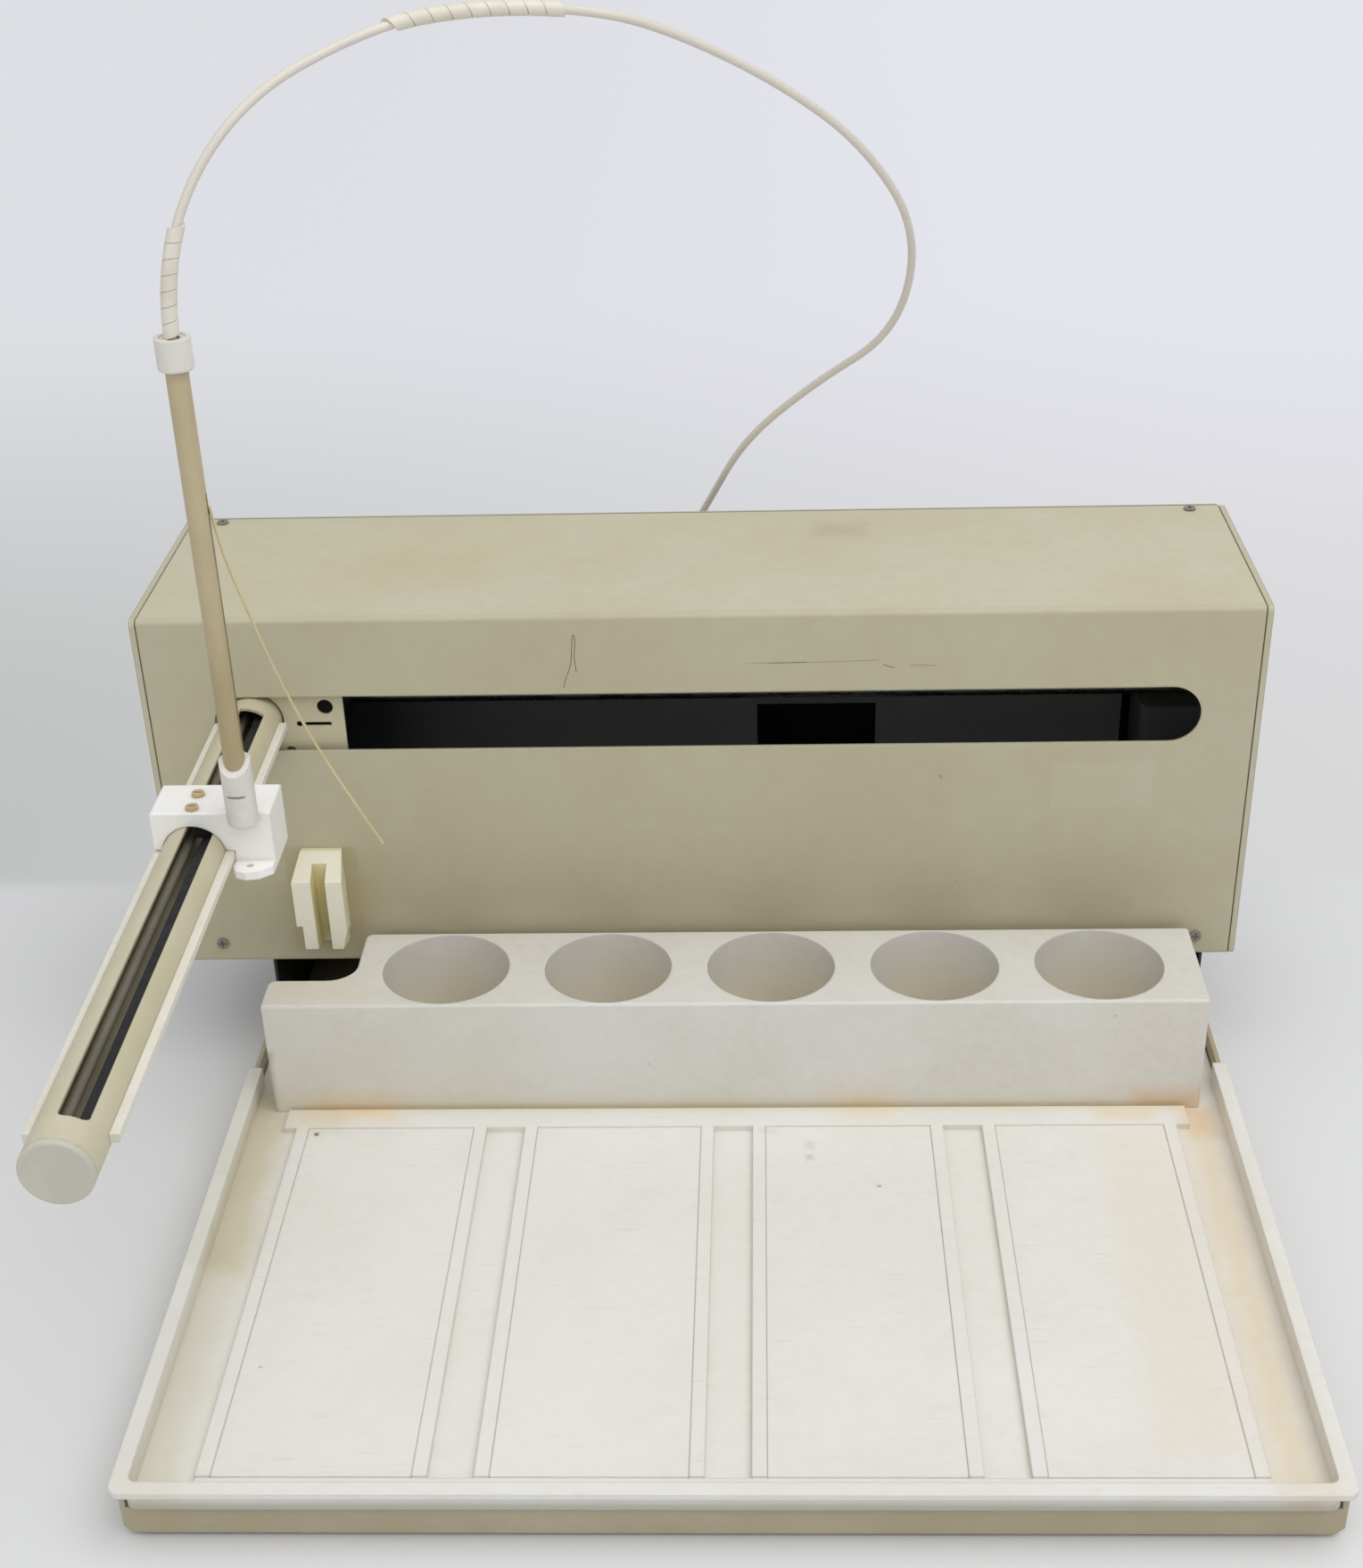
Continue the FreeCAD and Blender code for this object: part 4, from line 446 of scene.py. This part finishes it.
finishes = {
    "housingPaint": {
        "base": "cac5ae", "mottle": "c0ba9c", "mottleScale": 9.0, "mottleShare": 0.55, "fineShare": 0.22,
        "fine": "bdb698", "grain": 2600.0, "bump": 0.00010, "rough": (0.52, 0.66),
        "edge": ("ded9c6", 0.45, 0.0012), "specks": ("8f8365", 0.55, 95.0, 0.10, 0.020),
        "patches": paintMarksAndShade, "shader": {"Specular IOR Level": 0.35}},
    "sidePaint": {
        "base": "c5bfa8", "mottle": "bab396", "mottleScale": 9.0, "mottleShare": 0.5, "fineShare": 0.2,
        "grain": 2600.0, "bump": 0.00010, "rough": (0.52, 0.66), "edge": ("8d866c", 0.45, 0.0010),
        "specks": ("8f8365", 0.5, 80.0, 0.10, 0.02), "shader": {"Specular IOR Level": 0.35}},
    "panPaint": {
        "base": "b9b097", "mottle": "aca184", "mottleScale": 12.0, "mottleShare": 0.6, "fineShare": 0.2,
        "grain": 2600.0, "bump": 0.00010, "rough": (0.5, 0.65), "edge": ("d6ceb6", 0.5, 0.0010),
        "specks": ("7d7358", 0.5, 90.0, 0.10, 0.03), "shader": {"Specular IOR Level": 0.35}},
    "armPaint": {
        "base": "cdc7ae", "mottle": "bfb896", "mottleScale": 14.0, "mottleShare": 0.5, "fineShare": 0.2,
        "grain": 2600.0, "bump": 0.00008, "rough": (0.42, 0.55), "edge": ("ddd8c4", 0.4, 0.0006),
        "specks": ("8f8365", 0.5, 110.0, 0.10, 0.02), "shader": {"Specular IOR Level": 0.4}},
    "darkSheet": {
        "base": "2c2b2b", "mottle": "373635", "mottleScale": 30.0, "mottleShare": 0.6,
        "grain": 1800.0, "bump": 0.00008, "rough": (0.5, 0.7),
        "specks": ("6a6763", 0.5, 160.0, 0.09, 0.04)},
    "wallSheet": {
        "base": "7d7d7e", "mottle": "757576", "mottleScale": 20.0, "mottleShare": 0.6,
        "grain": 1800.0, "bump": 0.00008, "rough": (0.6, 0.75),
        # a near-black patch at the inner wall's left end: painted shadow
        "patches": [((-0.25, 0.213, 0.17), (0.068, 0.003, 0.10), 0.030, 0.0, "101010", 0.95)]},
    "panelPaint": {
        "base": "b7b29d", "mottle": "aba58c", "mottleScale": 10.0, "mottleShare": 0.5, "fineShare": 0.2,
        "grain": 2600.0, "bump": 0.00010, "rough": (0.5, 0.66), "edge": ("d6d0bc", 0.4, 0.0008),
        # the rear panel's inner face near black: painted shade inside the housing, seen through the slot
        "patches": [((0.0, 0.2540, 0.17), (0.30, 0.0007, 0.12), 0.0003, 0.0, "0c0c0c", 0.97)]},
    "trayPlastic": {
        "base": "e7e6e2", "mottle": "dfdcd4", "mottleScale": 11.0, "mottleShare": 0.6, "fineShare": 0.25,
        "fine": "eceae5", "grain": 900.0, "bump": 0.00012, "rough": (0.42, 0.58),
        "creviceDirtAndShade": ("d2c6a8", 0.25, 0.010), "edge": ("f1efea", 0.5, 0.0010),
        "specks": ("a59b86", 0.6, 60.0, 0.05, 0.05),
        "scratches": ("d3cdbf", 0.35, (1.0, 14.0, 1.0), 55.0, 0.66),
        "patches": trayStainsAndShade, "shader": {"Specular IOR Level": 0.4}},
    # grey filler for the seat seams: painted shade of the grooves
    "seamShadePlastic": {
        "base": "c9c5ba", "mottle": "beb9ab", "mottleScale": 30.0, "mottleShare": 0.7,
        "grain": 900.0, "bump": 0.00005, "rough": (0.5, 0.6)},
    "blockPlastic": {
        "base": "dcdad5", "mottle": "d3cfc6", "mottleScale": 14.0, "mottleShare": 0.6, "fineShare": 0.25,
        "fine": "e4e2de", "grain": 1100.0, "bump": 0.00012, "rough": (0.42, 0.56),
        "creviceDirtAndShade": ("d9cca2", 0.30, 0.02), "edge": ("f4f2ee", 0.75, 0.0016),
        "wells": ("e2dccb", 0.85, wellRow), "specks": ("aaa08c", 0.5, 70.0, 0.05, 0.04),
        "patches": blockStains, "shader": {"Specular IOR Level": 0.4}},
    "capPlastic": {
        "base": "cac7bb", "mottle": "bfbbad", "mottleScale": 30.0, "mottleShare": 0.6,
        "grain": 1100.0, "bump": 0.00012, "rough": (0.42, 0.56), "edge": ("f2f0ea", 0.9, 0.0018),
        "specks": ("958d7a", 0.5, 120.0, 0.06, 0.05), "shader": {"Specular IOR Level": 0.4}},
    "clipPlastic": {
        "base": "e3e1da", "mottle": "d8d5cc", "mottleScale": 60.0, "mottleShare": 0.5,
        "grain": 1800.0, "bump": 0.00008, "rough": (0.38, 0.5), "creviceDirtAndShade": ("b7a888", 0.5, 0.003),
        "edge": ("f4f3f0", 0.6, 0.0006), "shader": {"Specular IOR Level": 0.45}},
    "sliderPlastic": {
        "base": "faf9f7", "mottle": "f1efeb", "mottleScale": 40.0, "mottleShare": 0.5,
        "grain": 1800.0, "bump": 0.00008, "rough": (0.38, 0.5), "creviceDirtAndShade": ("c9b48c", 0.5, 0.004),
        "edge": ("f6f5f2", 0.6, 0.0008), "specks": ("a8977a", 0.5, 150.0, 0.07, 0.03),
        "shader": {"Specular IOR Level": 0.45}},
    "railPlastic": {
        "base": "e8e5dc", "mottle": "dcd7c6", "mottleScale": 30.0, "mottleShare": 0.6,
        "grain": 1500.0, "bump": 0.00008, "rough": (0.42, 0.55), "edge": ("f1eddf", 0.6, 0.0005),
        "scratches": ("c6bc9e", 0.4, (1.0, 6.0, 1.0), 160.0, 0.64)},
    "creamPlastic": {
        "base": "ebe7d2", "mottle": "f0ecdd", "mottleScale": 45.0, "mottleShare": 0.6,
        "grain": 1500.0, "bump": 0.00008, "rough": (0.4, 0.52), "creviceDirtAndShade": ("e0d28a", 0.85, 0.014),
        "edge": ("eeead6", 0.6, 0.0006), "shader": {"Subsurface Weight": 0.12, "Subsurface Scale": 0.004}},
    "tanPlastic": {
        "base": "c2b492", "mottle": "b8aa87", "mottleScale": 25.0, "mottleShare": 0.6,
        "patches": [((-0.207, -0.027, 0.27), (0.01, 0.01, 0.04), 0.06, 0.0, "9a895e", 0.80)],
        "grain": 2200.0, "bump": 0.00005, "rough": (0.38, 0.5),
        "specks": ("7d6c4c", 0.6, 200.0, 0.08, 0.03),
        "scratches": ("c4b795", 0.4, (1.0, 1.0, 0.12), 420.0, 0.62)},
    "blackPlastic": {
        "base": "191919", "mottle": "232323", "mottleScale": 60.0, "mottleShare": 0.6,
        "grain": 2200.0, "bump": 0.00006, "rough": (0.38, 0.55), "edge": ("3a3a3a", 0.5, 0.0005)},
    "beltRubber": {
        "base": "151518", "mottle": "24242a", "mottleScale": 120.0, "mottleShare": 0.8,
        "grain": 3000.0, "bump": 0.00008, "rough": (0.5, 0.75),
        "specks": ("6c6c70", 0.5, 300.0, 0.10, 0.10)},
    "greyHardware": {
        "base": "5f6163", "mottle": "505254", "mottleScale": 60.0, "mottleShare": 0.6,
        "grain": 2500.0, "bump": 0.00004, "rough": (0.35, 0.5), "edge": ("8c8e90", 0.5, 0.0004)},
    "screwSteel": {
        "base": "8f8b82", "mottle": "7d796f", "mottleScale": 90.0, "mottleShare": 0.6,
        "grain": 2500.0, "bump": 0.00003, "rough": (0.35, 0.5), "creviceDirtAndShade": ("1d1b18", 0.97, 0.0016),
        "edge": ("b5b1a6", 0.6, 0.0004)},
    "shaftGrey": {
        "base": "8d8778", "mottle": "7a7466", "mottleScale": 25.0, "mottleShare": 0.7,
        "grain": 2500.0, "bump": 0.00003, "rough": (0.4, 0.55)},
    "motorGrey": {
        "base": "6d6d6d", "mottle": "606060", "mottleScale": 30.0, "mottleShare": 0.6,
        "grain": 1800.0, "bump": 0.00006, "rough": (0.5, 0.65)},
    "steel": {
        "base": "a9a9a6", "mottle": "8f8d88", "mottleScale": 80.0, "mottleShare": 0.6,
        "grain": 3000.0, "bump": 0.00003, "rough": (0.24, 0.4), "shader": {"Metallic": 1.0},
        "creviceDirtAndShade": ("4f4a42", 0.8, 0.0012)},
    "aluminium": {
        "base": "bcbcba", "mottle": "a6a6a4", "mottleScale": 60.0, "mottleShare": 0.6,
        "grain": 3000.0, "bump": 0.00004, "rough": (0.34, 0.5), "shader": {"Metallic": 1.0},
        "edge": ("d6d6d4", 0.5, 0.0004), "scratches": ("8d8d8b", 0.4, (9.0, 1.0, 1.0), 120.0, 0.62)},
    "tanScrew": {
        "base": "c9b48a", "mottle": "bda67a", "mottleScale": 150.0, "mottleShare": 0.6,
        "grain": 2600.0, "bump": 0.00005, "rough": (0.35, 0.5), "creviceDirtAndShade": ("7d6840", 0.85, 0.0012),
        "edge": ("e2d3b0", 0.5, 0.0003)},
    "boardGreen": {
        "base": "1f4a30", "mottle": "2a5a3c", "mottleScale": 120.0, "mottleShare": 0.7,
        "grain": 1500.0, "bump": 0.00005, "rough": (0.35, 0.5),
        "specks": ("c0b060", 0.8, 240.0, 0.20, 0.30)},
    "brass": {
        "base": "b08a48", "mottle": "96733a", "mottleScale": 120.0, "mottleShare": 0.7,
        "grain": 2500.0, "bump": 0.00003, "rough": (0.25, 0.4), "shader": {"Metallic": 1.0}},
    "rubber": {
        "base": "2a2a29", "mottle": "343433", "mottleScale": 60.0, "mottleShare": 0.6,
        "grain": 1500.0, "bump": 0.0001, "rough": (0.7, 0.85)},
    "sheathPlastic": {
        "base": "dfd9cf", "mottle": "d5cec2", "mottleScale": 14.0, "mottleShare": 0.5, "fineShare": 0.0,
        "grain": 200.0, "bump": 0.000002, "rough": (0.36, 0.44)},
    "wrapPlastic": {
        "base": "e4dfd3", "mottle": "d9d2c1", "mottleScale": 60.0, "mottleShare": 0.7,
        "grain": 300.0, "bump": 0.00001, "rough": (0.34, 0.46), "creviceDirtAndShade": ("d2c7ad", 0.4, 0.0012)},
    "capillary": {
        "base": "cdb98c", "mottle": "dccba2", "mottleScale": 60.0, "mottleShare": 0.6,
        "grain": 1500.0, "bump": 0.00002, "rough": (0.3, 0.4)},
    "penInk": {
        "base": "3a352d", "mottle": "6b6351", "mottleScale": 90.0, "mottleShare": 0.9,
        "grain": 1500.0, "bump": 0.00001, "rough": (0.6, 0.7)},
}
finish = {name: makeFinish(name, look) for name, look in finishes.items()}

finishOf = {
    "housingPaint": ["housing_cover"],
    "sidePaint": ["left_side_plate", "right_side_plate"],
    "panPaint": ["base_pan"],
    "armPaint": ["arm_tube", "carriage_plate"],
    "darkSheet": ["pedestal", "floor_plate", "motor_stand", "idler_post", "left_rod_bracket",
                  "right_rod_bracket"],
    "wallSheet": ["inner_wall"],
    "panelPaint": ["rear_panel"],
    "trayPlastic": ["sample_tray"],
    "blockPlastic": ["standards_block"],
    "capPlastic": ["arm_end_cap"],
    "sliderPlastic": ["slider_block"],
    "clipPlastic": ["tube_clip", "z_tube_cap"],
    "railPlastic": ["arm_rail_left", "arm_rail_right"],
    "creamPlastic": ["rinse_bracket"],
    "tanPlastic": ["z_tube"],
    "blackPlastic": ["power_inlet", "power_rocker", "belt_clip", "y_motor", "z_drive_case", "sheath_gland",
                     "serial_ports"],
    "beltRubber": ["x_belt", "y_belt"],
    "greyHardware": ["y_pulley_yoke", "carriage_block"],
    "shaftGrey": ["y_guide_shaft"],
    "screwSteel": ["housing_screws"],
    "motorGrey": ["x_motor"],
    "steel": ["x_guide_rods", "probe_rod"],
    "aluminium": ["x_belt_clamp", "carriage_spacers", "board_posts", "power_supply", "x_drive_pulley",
                  "x_idle_pulley", "y_front_pulley", "y_rear_pulley"],
    "tanScrew": ["slider_screws"],
    "boardGreen": ["control_board"],
    "brass": ["inlet_pins"],
    "rubber": ["rubber_feet"],
    "wrapPlastic": ["rinse_ports", "z_spool"],
    "sheathPlastic": ["sheath_front", "sheath_rear"],
    "capillary": ["sample_line"],
}
for name, members in finishOf.items():
    for member in members:
        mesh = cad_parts[member].data
        mesh.materials.clear()
        mesh.materials.append(finish[name])
print("finishes made:", len(finish))


# helpers for modelling

def startPiece(name):
    piece = bpy.context.active_object
    piece.name = name
    piece.data.name = name
    return piece


def clearSelection():
    bpy.ops.object.select_all(action="DESELECT")


def selectOnly(pieces):
    clearSelection()
    for piece in pieces:
        piece.select_set(True)
    bpy.context.view_layer.objects.active = pieces[0]


def applyModifiers(piece):
    bpy.context.view_layer.objects.active = piece
    for modifier in list(piece.modifiers):
        bpy.ops.object.modifier_apply(modifier=modifier.name)


def settle(piece):
    selectOnly([piece])
    bpy.ops.object.transform_apply(location=True, rotation=True, scale=True)


def joinPieces(name, pieces):
    selectOnly(pieces)
    bpy.ops.object.join()
    piece = startPiece(name)
    settle(piece)
    return piece


def smoothByAngle(piece, degrees=35):
    selectOnly([piece])
    bpy.ops.object.shade_smooth_by_angle(angle=math.radians(degrees))


def curveOf(name, kind, points, resolution):
    curve = bpy.data.curves.new(name, "CURVE")
    curve.dimensions = "3D"
    curve.resolution_u = resolution
    spline = curve.splines.new(kind)
    spline.points.add(len(points) - 1)
    for spot, place in zip(spline.points, points):
        spot.co = (*place, 1.0)
    if kind == "NURBS":
        spline.order_u = 3
        spline.use_endpoint_u = True
    piece = bpy.data.objects.new(name, curve)
    scene.collection.objects.link(piece)
    return piece


def curveToMesh(piece, radius, roundness):
    piece.data.bevel_depth = radius
    piece.data.bevel_resolution = roundness
    selectOnly([piece])
    bpy.ops.object.convert(target="MESH")
    return bpy.context.active_object


def dress(piece, finishName, body=None):
    piece.data.materials.clear()
    piece.data.materials.append(finish[finishName])
    if body:
        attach(piece, body)
    return piece


# the sheath from the housing's back to the sampling tube, and the capillary

def lineOf(piece):
    # the curve's middle line as points, read before the curve gets its thickness
    mesh = bpy.data.meshes.new_from_object(piece)
    points = [v.co.copy() for v in mesh.vertices]
    bpy.data.meshes.remove(mesh)
    return points


def makeTube(name, points, radius):
    piece = curveOf(name, "NURBS", points, resolution=10)
    line = lineOf(piece)
    piece.data.use_fill_caps = True
    piece = curveToMesh(piece, radius, roundness=5)
    smoothByAngle(piece)
    return piece, line


sheathLook = {
    "radius": 0.002,
    "frontLength": 0.2326, "rearLength": 0.6220,
    # both stretches run towards the crown of the arch
    "front": [(-0.207, -0.027, 0.4622), (-0.207, -0.027, 0.500), (-0.176, -0.003, 0.551),
              (-0.121, 0.026, 0.5745), (-0.0813, 0.0447, 0.5775), (-0.061, 0.0555, 0.5751)],
    "rear": [(-0.030, 0.2622, 0.192), (-0.030, 0.304, 0.192), (-0.018, 0.312, 0.226),
             (0.002, 0.298, 0.264), (0.024, 0.268, 0.313), (0.062, 0.239, 0.354), (0.104, 0.206, 0.391),
             (0.112, 0.176, 0.449), (0.083, 0.146, 0.498), (0.040, 0.116, 0.534), (-0.010, 0.085, 0.563),
             (-0.0425, 0.0653, 0.5729), (-0.06091, 0.05555, 0.57509)],
    "frontBlend": ((-0.115, 0.029, 0.575), (-0.200, -0.021, 0.509)),
    "rearBlend": ((-0.030, 0.2622, 0.192), (-0.032, 0.072, 0.5696)),
}
capillaryLook = {
    "radius": 0.0006, "length": 0.1876,
    "points": [(-0.2016, -0.027, 0.391), (-0.200, -0.025, 0.371), (-0.194, -0.020, 0.342),
               (-0.184, -0.014, 0.300), (-0.168, -0.010, 0.256), (-0.147, -0.008, 0.214)],
}

sheathFront, frontLine = makeTube("sheathFront", sheathLook["front"], sheathLook["radius"])
sheathRear, rearLine = makeTube("sheathRear", sheathLook["rear"], sheathLook["radius"])
capillary, capillaryLine = makeTube("sampleCapillary", capillaryLook["points"], capillaryLook["radius"])
for piece in (sheathFront, sheathRear):
    dress(piece, "sheathPlastic")
dress(capillary, "capillary", "slider")


# spiral wraps on the sheath

wrapLook = {"inner": 0.0021, "steps": 22, "merge": 0.00002, "smooth": 50}
crownLook = {
    **wrapLook, "thick": 0.0011, "width": 0.00805, "pitch": 0.0083, "before": 0.0635, "after": 0.0112,
}
capLook = {**wrapLook, "thick": 0.0013, "width": 0.0061, "pitch": 0.0063, "after": 0.044}


def stretchOf(line, length):
    # the first points of the line, up to that length along it
    kept, done = [line[0]], 0.0
    for before, after in zip(line, line[1:]):
        done += (after - before).length
        kept.append(after)
        if done >= length:
            break
    return kept


def spiralWrap(name, guideLine, length, look):
    # a strip's end is turned upwards into a spiral, which is then bent along the guide
    guide = curveOf(name + "Guide", "POLY", guideLine, resolution=12)
    clearSelection()
    middle = (look["inner"] + look["thick"] / 2, 0, look["width"] / 2)
    bpy.ops.mesh.primitive_plane_add(size=1, location=middle, rotation=(math.radians(90), 0, 0))
    piece = startPiece(name)
    piece.scale = (look["thick"], look["width"], 1)
    settle(piece)
    bpy.ops.object.mode_set(mode="EDIT")
    bpy.ops.mesh.select_all(action="SELECT")
    bpy.ops.mesh.delete(type="ONLY_FACE")
    bpy.ops.object.mode_set(mode="OBJECT")
    turning = piece.modifiers.new("turning", "SCREW")
    turning.axis = "Z"
    turning.angle = math.radians(360)
    turning.screw_offset = look["pitch"]
    turning.iterations = max(2, round(length / look["pitch"]))
    turning.steps = turning.render_steps = look["steps"]
    applyModifiers(piece)
    bpy.ops.object.mode_set(mode="EDIT")
    bpy.ops.mesh.select_all(action="SELECT")
    bpy.ops.mesh.remove_doubles(threshold=look["merge"])
    bpy.ops.mesh.fill_holes(sides=4)
    bpy.ops.mesh.normals_make_consistent(inside=False)
    bpy.ops.object.mode_set(mode="OBJECT")
    bending = piece.modifiers.new("bending", "CURVE")
    bending.object = guide
    bending.deform_axis = "POS_Z"
    applyModifiers(piece)
    settle(piece)
    bpy.data.objects.remove(guide)
    smoothByAngle(piece, look["smooth"])
    return piece


frontFromCrown = list(reversed(frontLine))
rearFromCrown = list(reversed(rearLine))
beforeCrown = list(reversed(stretchOf(frontFromCrown, crownLook["before"])))
crownGuide = beforeCrown + stretchOf(rearFromCrown, crownLook["after"])[1:]
crownWrap = spiralWrap("crownWrap", crownGuide, crownLook["before"] + crownLook["after"], crownLook)
dress(crownWrap, "wrapPlastic", "arm")
capWrap = spiralWrap("capWrap", stretchOf(frontLine, capLook["after"]), capLook["after"], capLook)
dress(capWrap, "wrapPlastic", "slider")

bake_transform(sheathFront)
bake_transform(sheathRear)
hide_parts("sheath_front")
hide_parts("sheath_rear")
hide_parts("sample_line")
print("sheath, wraps and capillary made")


# teeth of the two toothed belts

beltLook = {
    "pitch": 0.0025, "toothLength": 0.0013, "toothHeight": 0.0007, "bevel": 0.0002,
    "thick": 0.0014, "sunk": 0.00005, "margin": 0.016,
}


def beltTeeth(name, belt, along, across, body, look):
    # a row of teeth on the inner face of each of the belt's two runs; along and across are axis numbers
    low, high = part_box(belt)
    between = 3 - along - across
    inset = look["thick"] + look["toothHeight"] / 2 - look["sunk"]
    made = []
    for depth in (high[between] - inset, low[between] + inset):
        place = (low + high) / 2
        place[along] = low[along] + look["margin"]
        place[between] = depth
        clearSelection()
        bpy.ops.mesh.primitive_cube_add(size=1, location=place)
        tooth = bpy.context.active_object
        size = [look["toothHeight"]] * 3
        size[along] = look["toothLength"]
        size[across] = high[across] - low[across]
        tooth.scale = size
        settle(tooth)
        bpy.ops.object.mode_set(mode="EDIT")
        bpy.ops.mesh.select_all(action="SELECT")
        bpy.ops.mesh.bevel(offset=look["bevel"], segments=1, affect="EDGES")
        bpy.ops.object.mode_set(mode="OBJECT")
        row = tooth.modifiers.new("row", "ARRAY")
        row.use_relative_offset = False
        row.use_constant_offset = True
        step = [0.0, 0.0, 0.0]
        step[along] = look["pitch"]
        row.constant_offset_displace = step
        row.count = int((high[along] - low[along] - 2 * look["margin"]) / look["pitch"])
        applyModifiers(tooth)
        made.append(tooth)
    return dress(joinPieces(name, made), "beltRubber", body)


beltTeeth("armBeltTeeth", "y_belt", 1, 0, "arm", beltLook)
beltTeeth("driveBeltTeeth", "x_belt", 0, 2, "frame", beltLook)
print("belt teeth made")


# seam fillers round the rack seats, grey as painted shade in the seam grooves, and the filler in the tube's
# cap

fillerLook = {
    # left and right side of each seat, then its front and rear
    "seats": [(-0.20885, -0.12085), (-0.08735, -0.00075), (0.03275, 0.11935), (0.15285, 0.24085)],
    "seatDepth": (-0.2290, 0.0192), "clear": 0.00002, "seam": 0.00031, "seatTop": 0.02492, "thick": 0.0004,
    "capPlace": (-0.207, -0.027, 0.4642), "capOuter": 0.00555, "capRing": 0.0021, "capThick": 0.0010,
}


def hollowOut(piece, width, thick):
    # keeps a rim of that width of a flat piece and makes it solid downwards
    selectOnly([piece])
    bpy.ops.object.mode_set(mode="EDIT")
    bpy.ops.mesh.select_all(action="SELECT")
    bpy.ops.mesh.inset(thickness=width)
    bpy.ops.mesh.delete(type="FACE")
    bpy.ops.object.mode_set(mode="OBJECT")
    solid = piece.modifiers.new("solid", "SOLIDIFY")
    solid.thickness = thick
    solid.offset = -1
    applyModifiers(piece)
    return piece


front, rear = fillerLook["seatDepth"]
made = []
for left, right in fillerLook["seats"]:
    clearSelection()
    middle = ((left + right) / 2, (front + rear) / 2, fillerLook["seatTop"])
    bpy.ops.mesh.primitive_plane_add(size=1, location=middle)
    plate = bpy.context.active_object
    plate.scale = (right - left - 2 * fillerLook["clear"], rear - front - 2 * fillerLook["clear"], 1)
    settle(plate)
    made.append(hollowOut(plate, fillerLook["seam"], fillerLook["thick"]))
dress(joinPieces("seatSeamShade", made), "seamShadePlastic", "frame")

clearSelection()
bpy.ops.mesh.primitive_circle_add(
    vertices=64, radius=fillerLook["capOuter"], fill_type="NGON", location=fillerLook["capPlace"])
capFiller = startPiece("capFiller")
settle(capFiller)
hollowOut(capFiller, fillerLook["capRing"], fillerLook["capThick"])
dress(capFiller, "wrapPlastic", "slider")
print("seam and cap fillers made")


# old pen marks on the housing's front

markLook = {
    "face": 0.114, "radius": 0.00016,
    # each mark: its thickness as a share of the radius, then its points in X and Z
    "marks": {
        "penLoop": (1.0, [(-0.0690, 0.2359), (-0.0682, 0.2405), (-0.0650, 0.2475), (-0.0639, 0.2560),
                          (-0.0632, 0.2672), (-0.0616, 0.2625), (-0.0632, 0.2525), (-0.0621, 0.2450)]),
        "penLine": (0.45, [(0.0250, 0.2483), (0.0359, 0.2484), (0.0573, 0.2486), (0.0746, 0.2489),
                           (0.0927, 0.2494)]),
        "penSmudge": (1.1, [(0.0362, 0.2485), (0.0480, 0.2486), (0.0560, 0.2487)]),
        "penTick": (0.9, [(0.0950, 0.2470), (0.0987, 0.2453), (0.1010, 0.2452)]),
        "penDash": (0.6, [(0.1090, 0.2462), (0.1180, 0.2464), (0.1223, 0.2458)]),
    },
}
for name, (weight, points) in markLook["marks"].items():
    line = [(x, markLook["face"], z) for x, z in points]
    stroke = curveOf(name, "NURBS", line, resolution=8)
    dress(curveToMesh(stroke, markLook["radius"] * weight, roundness=1), "penInk", "frame")
print("pen marks made")
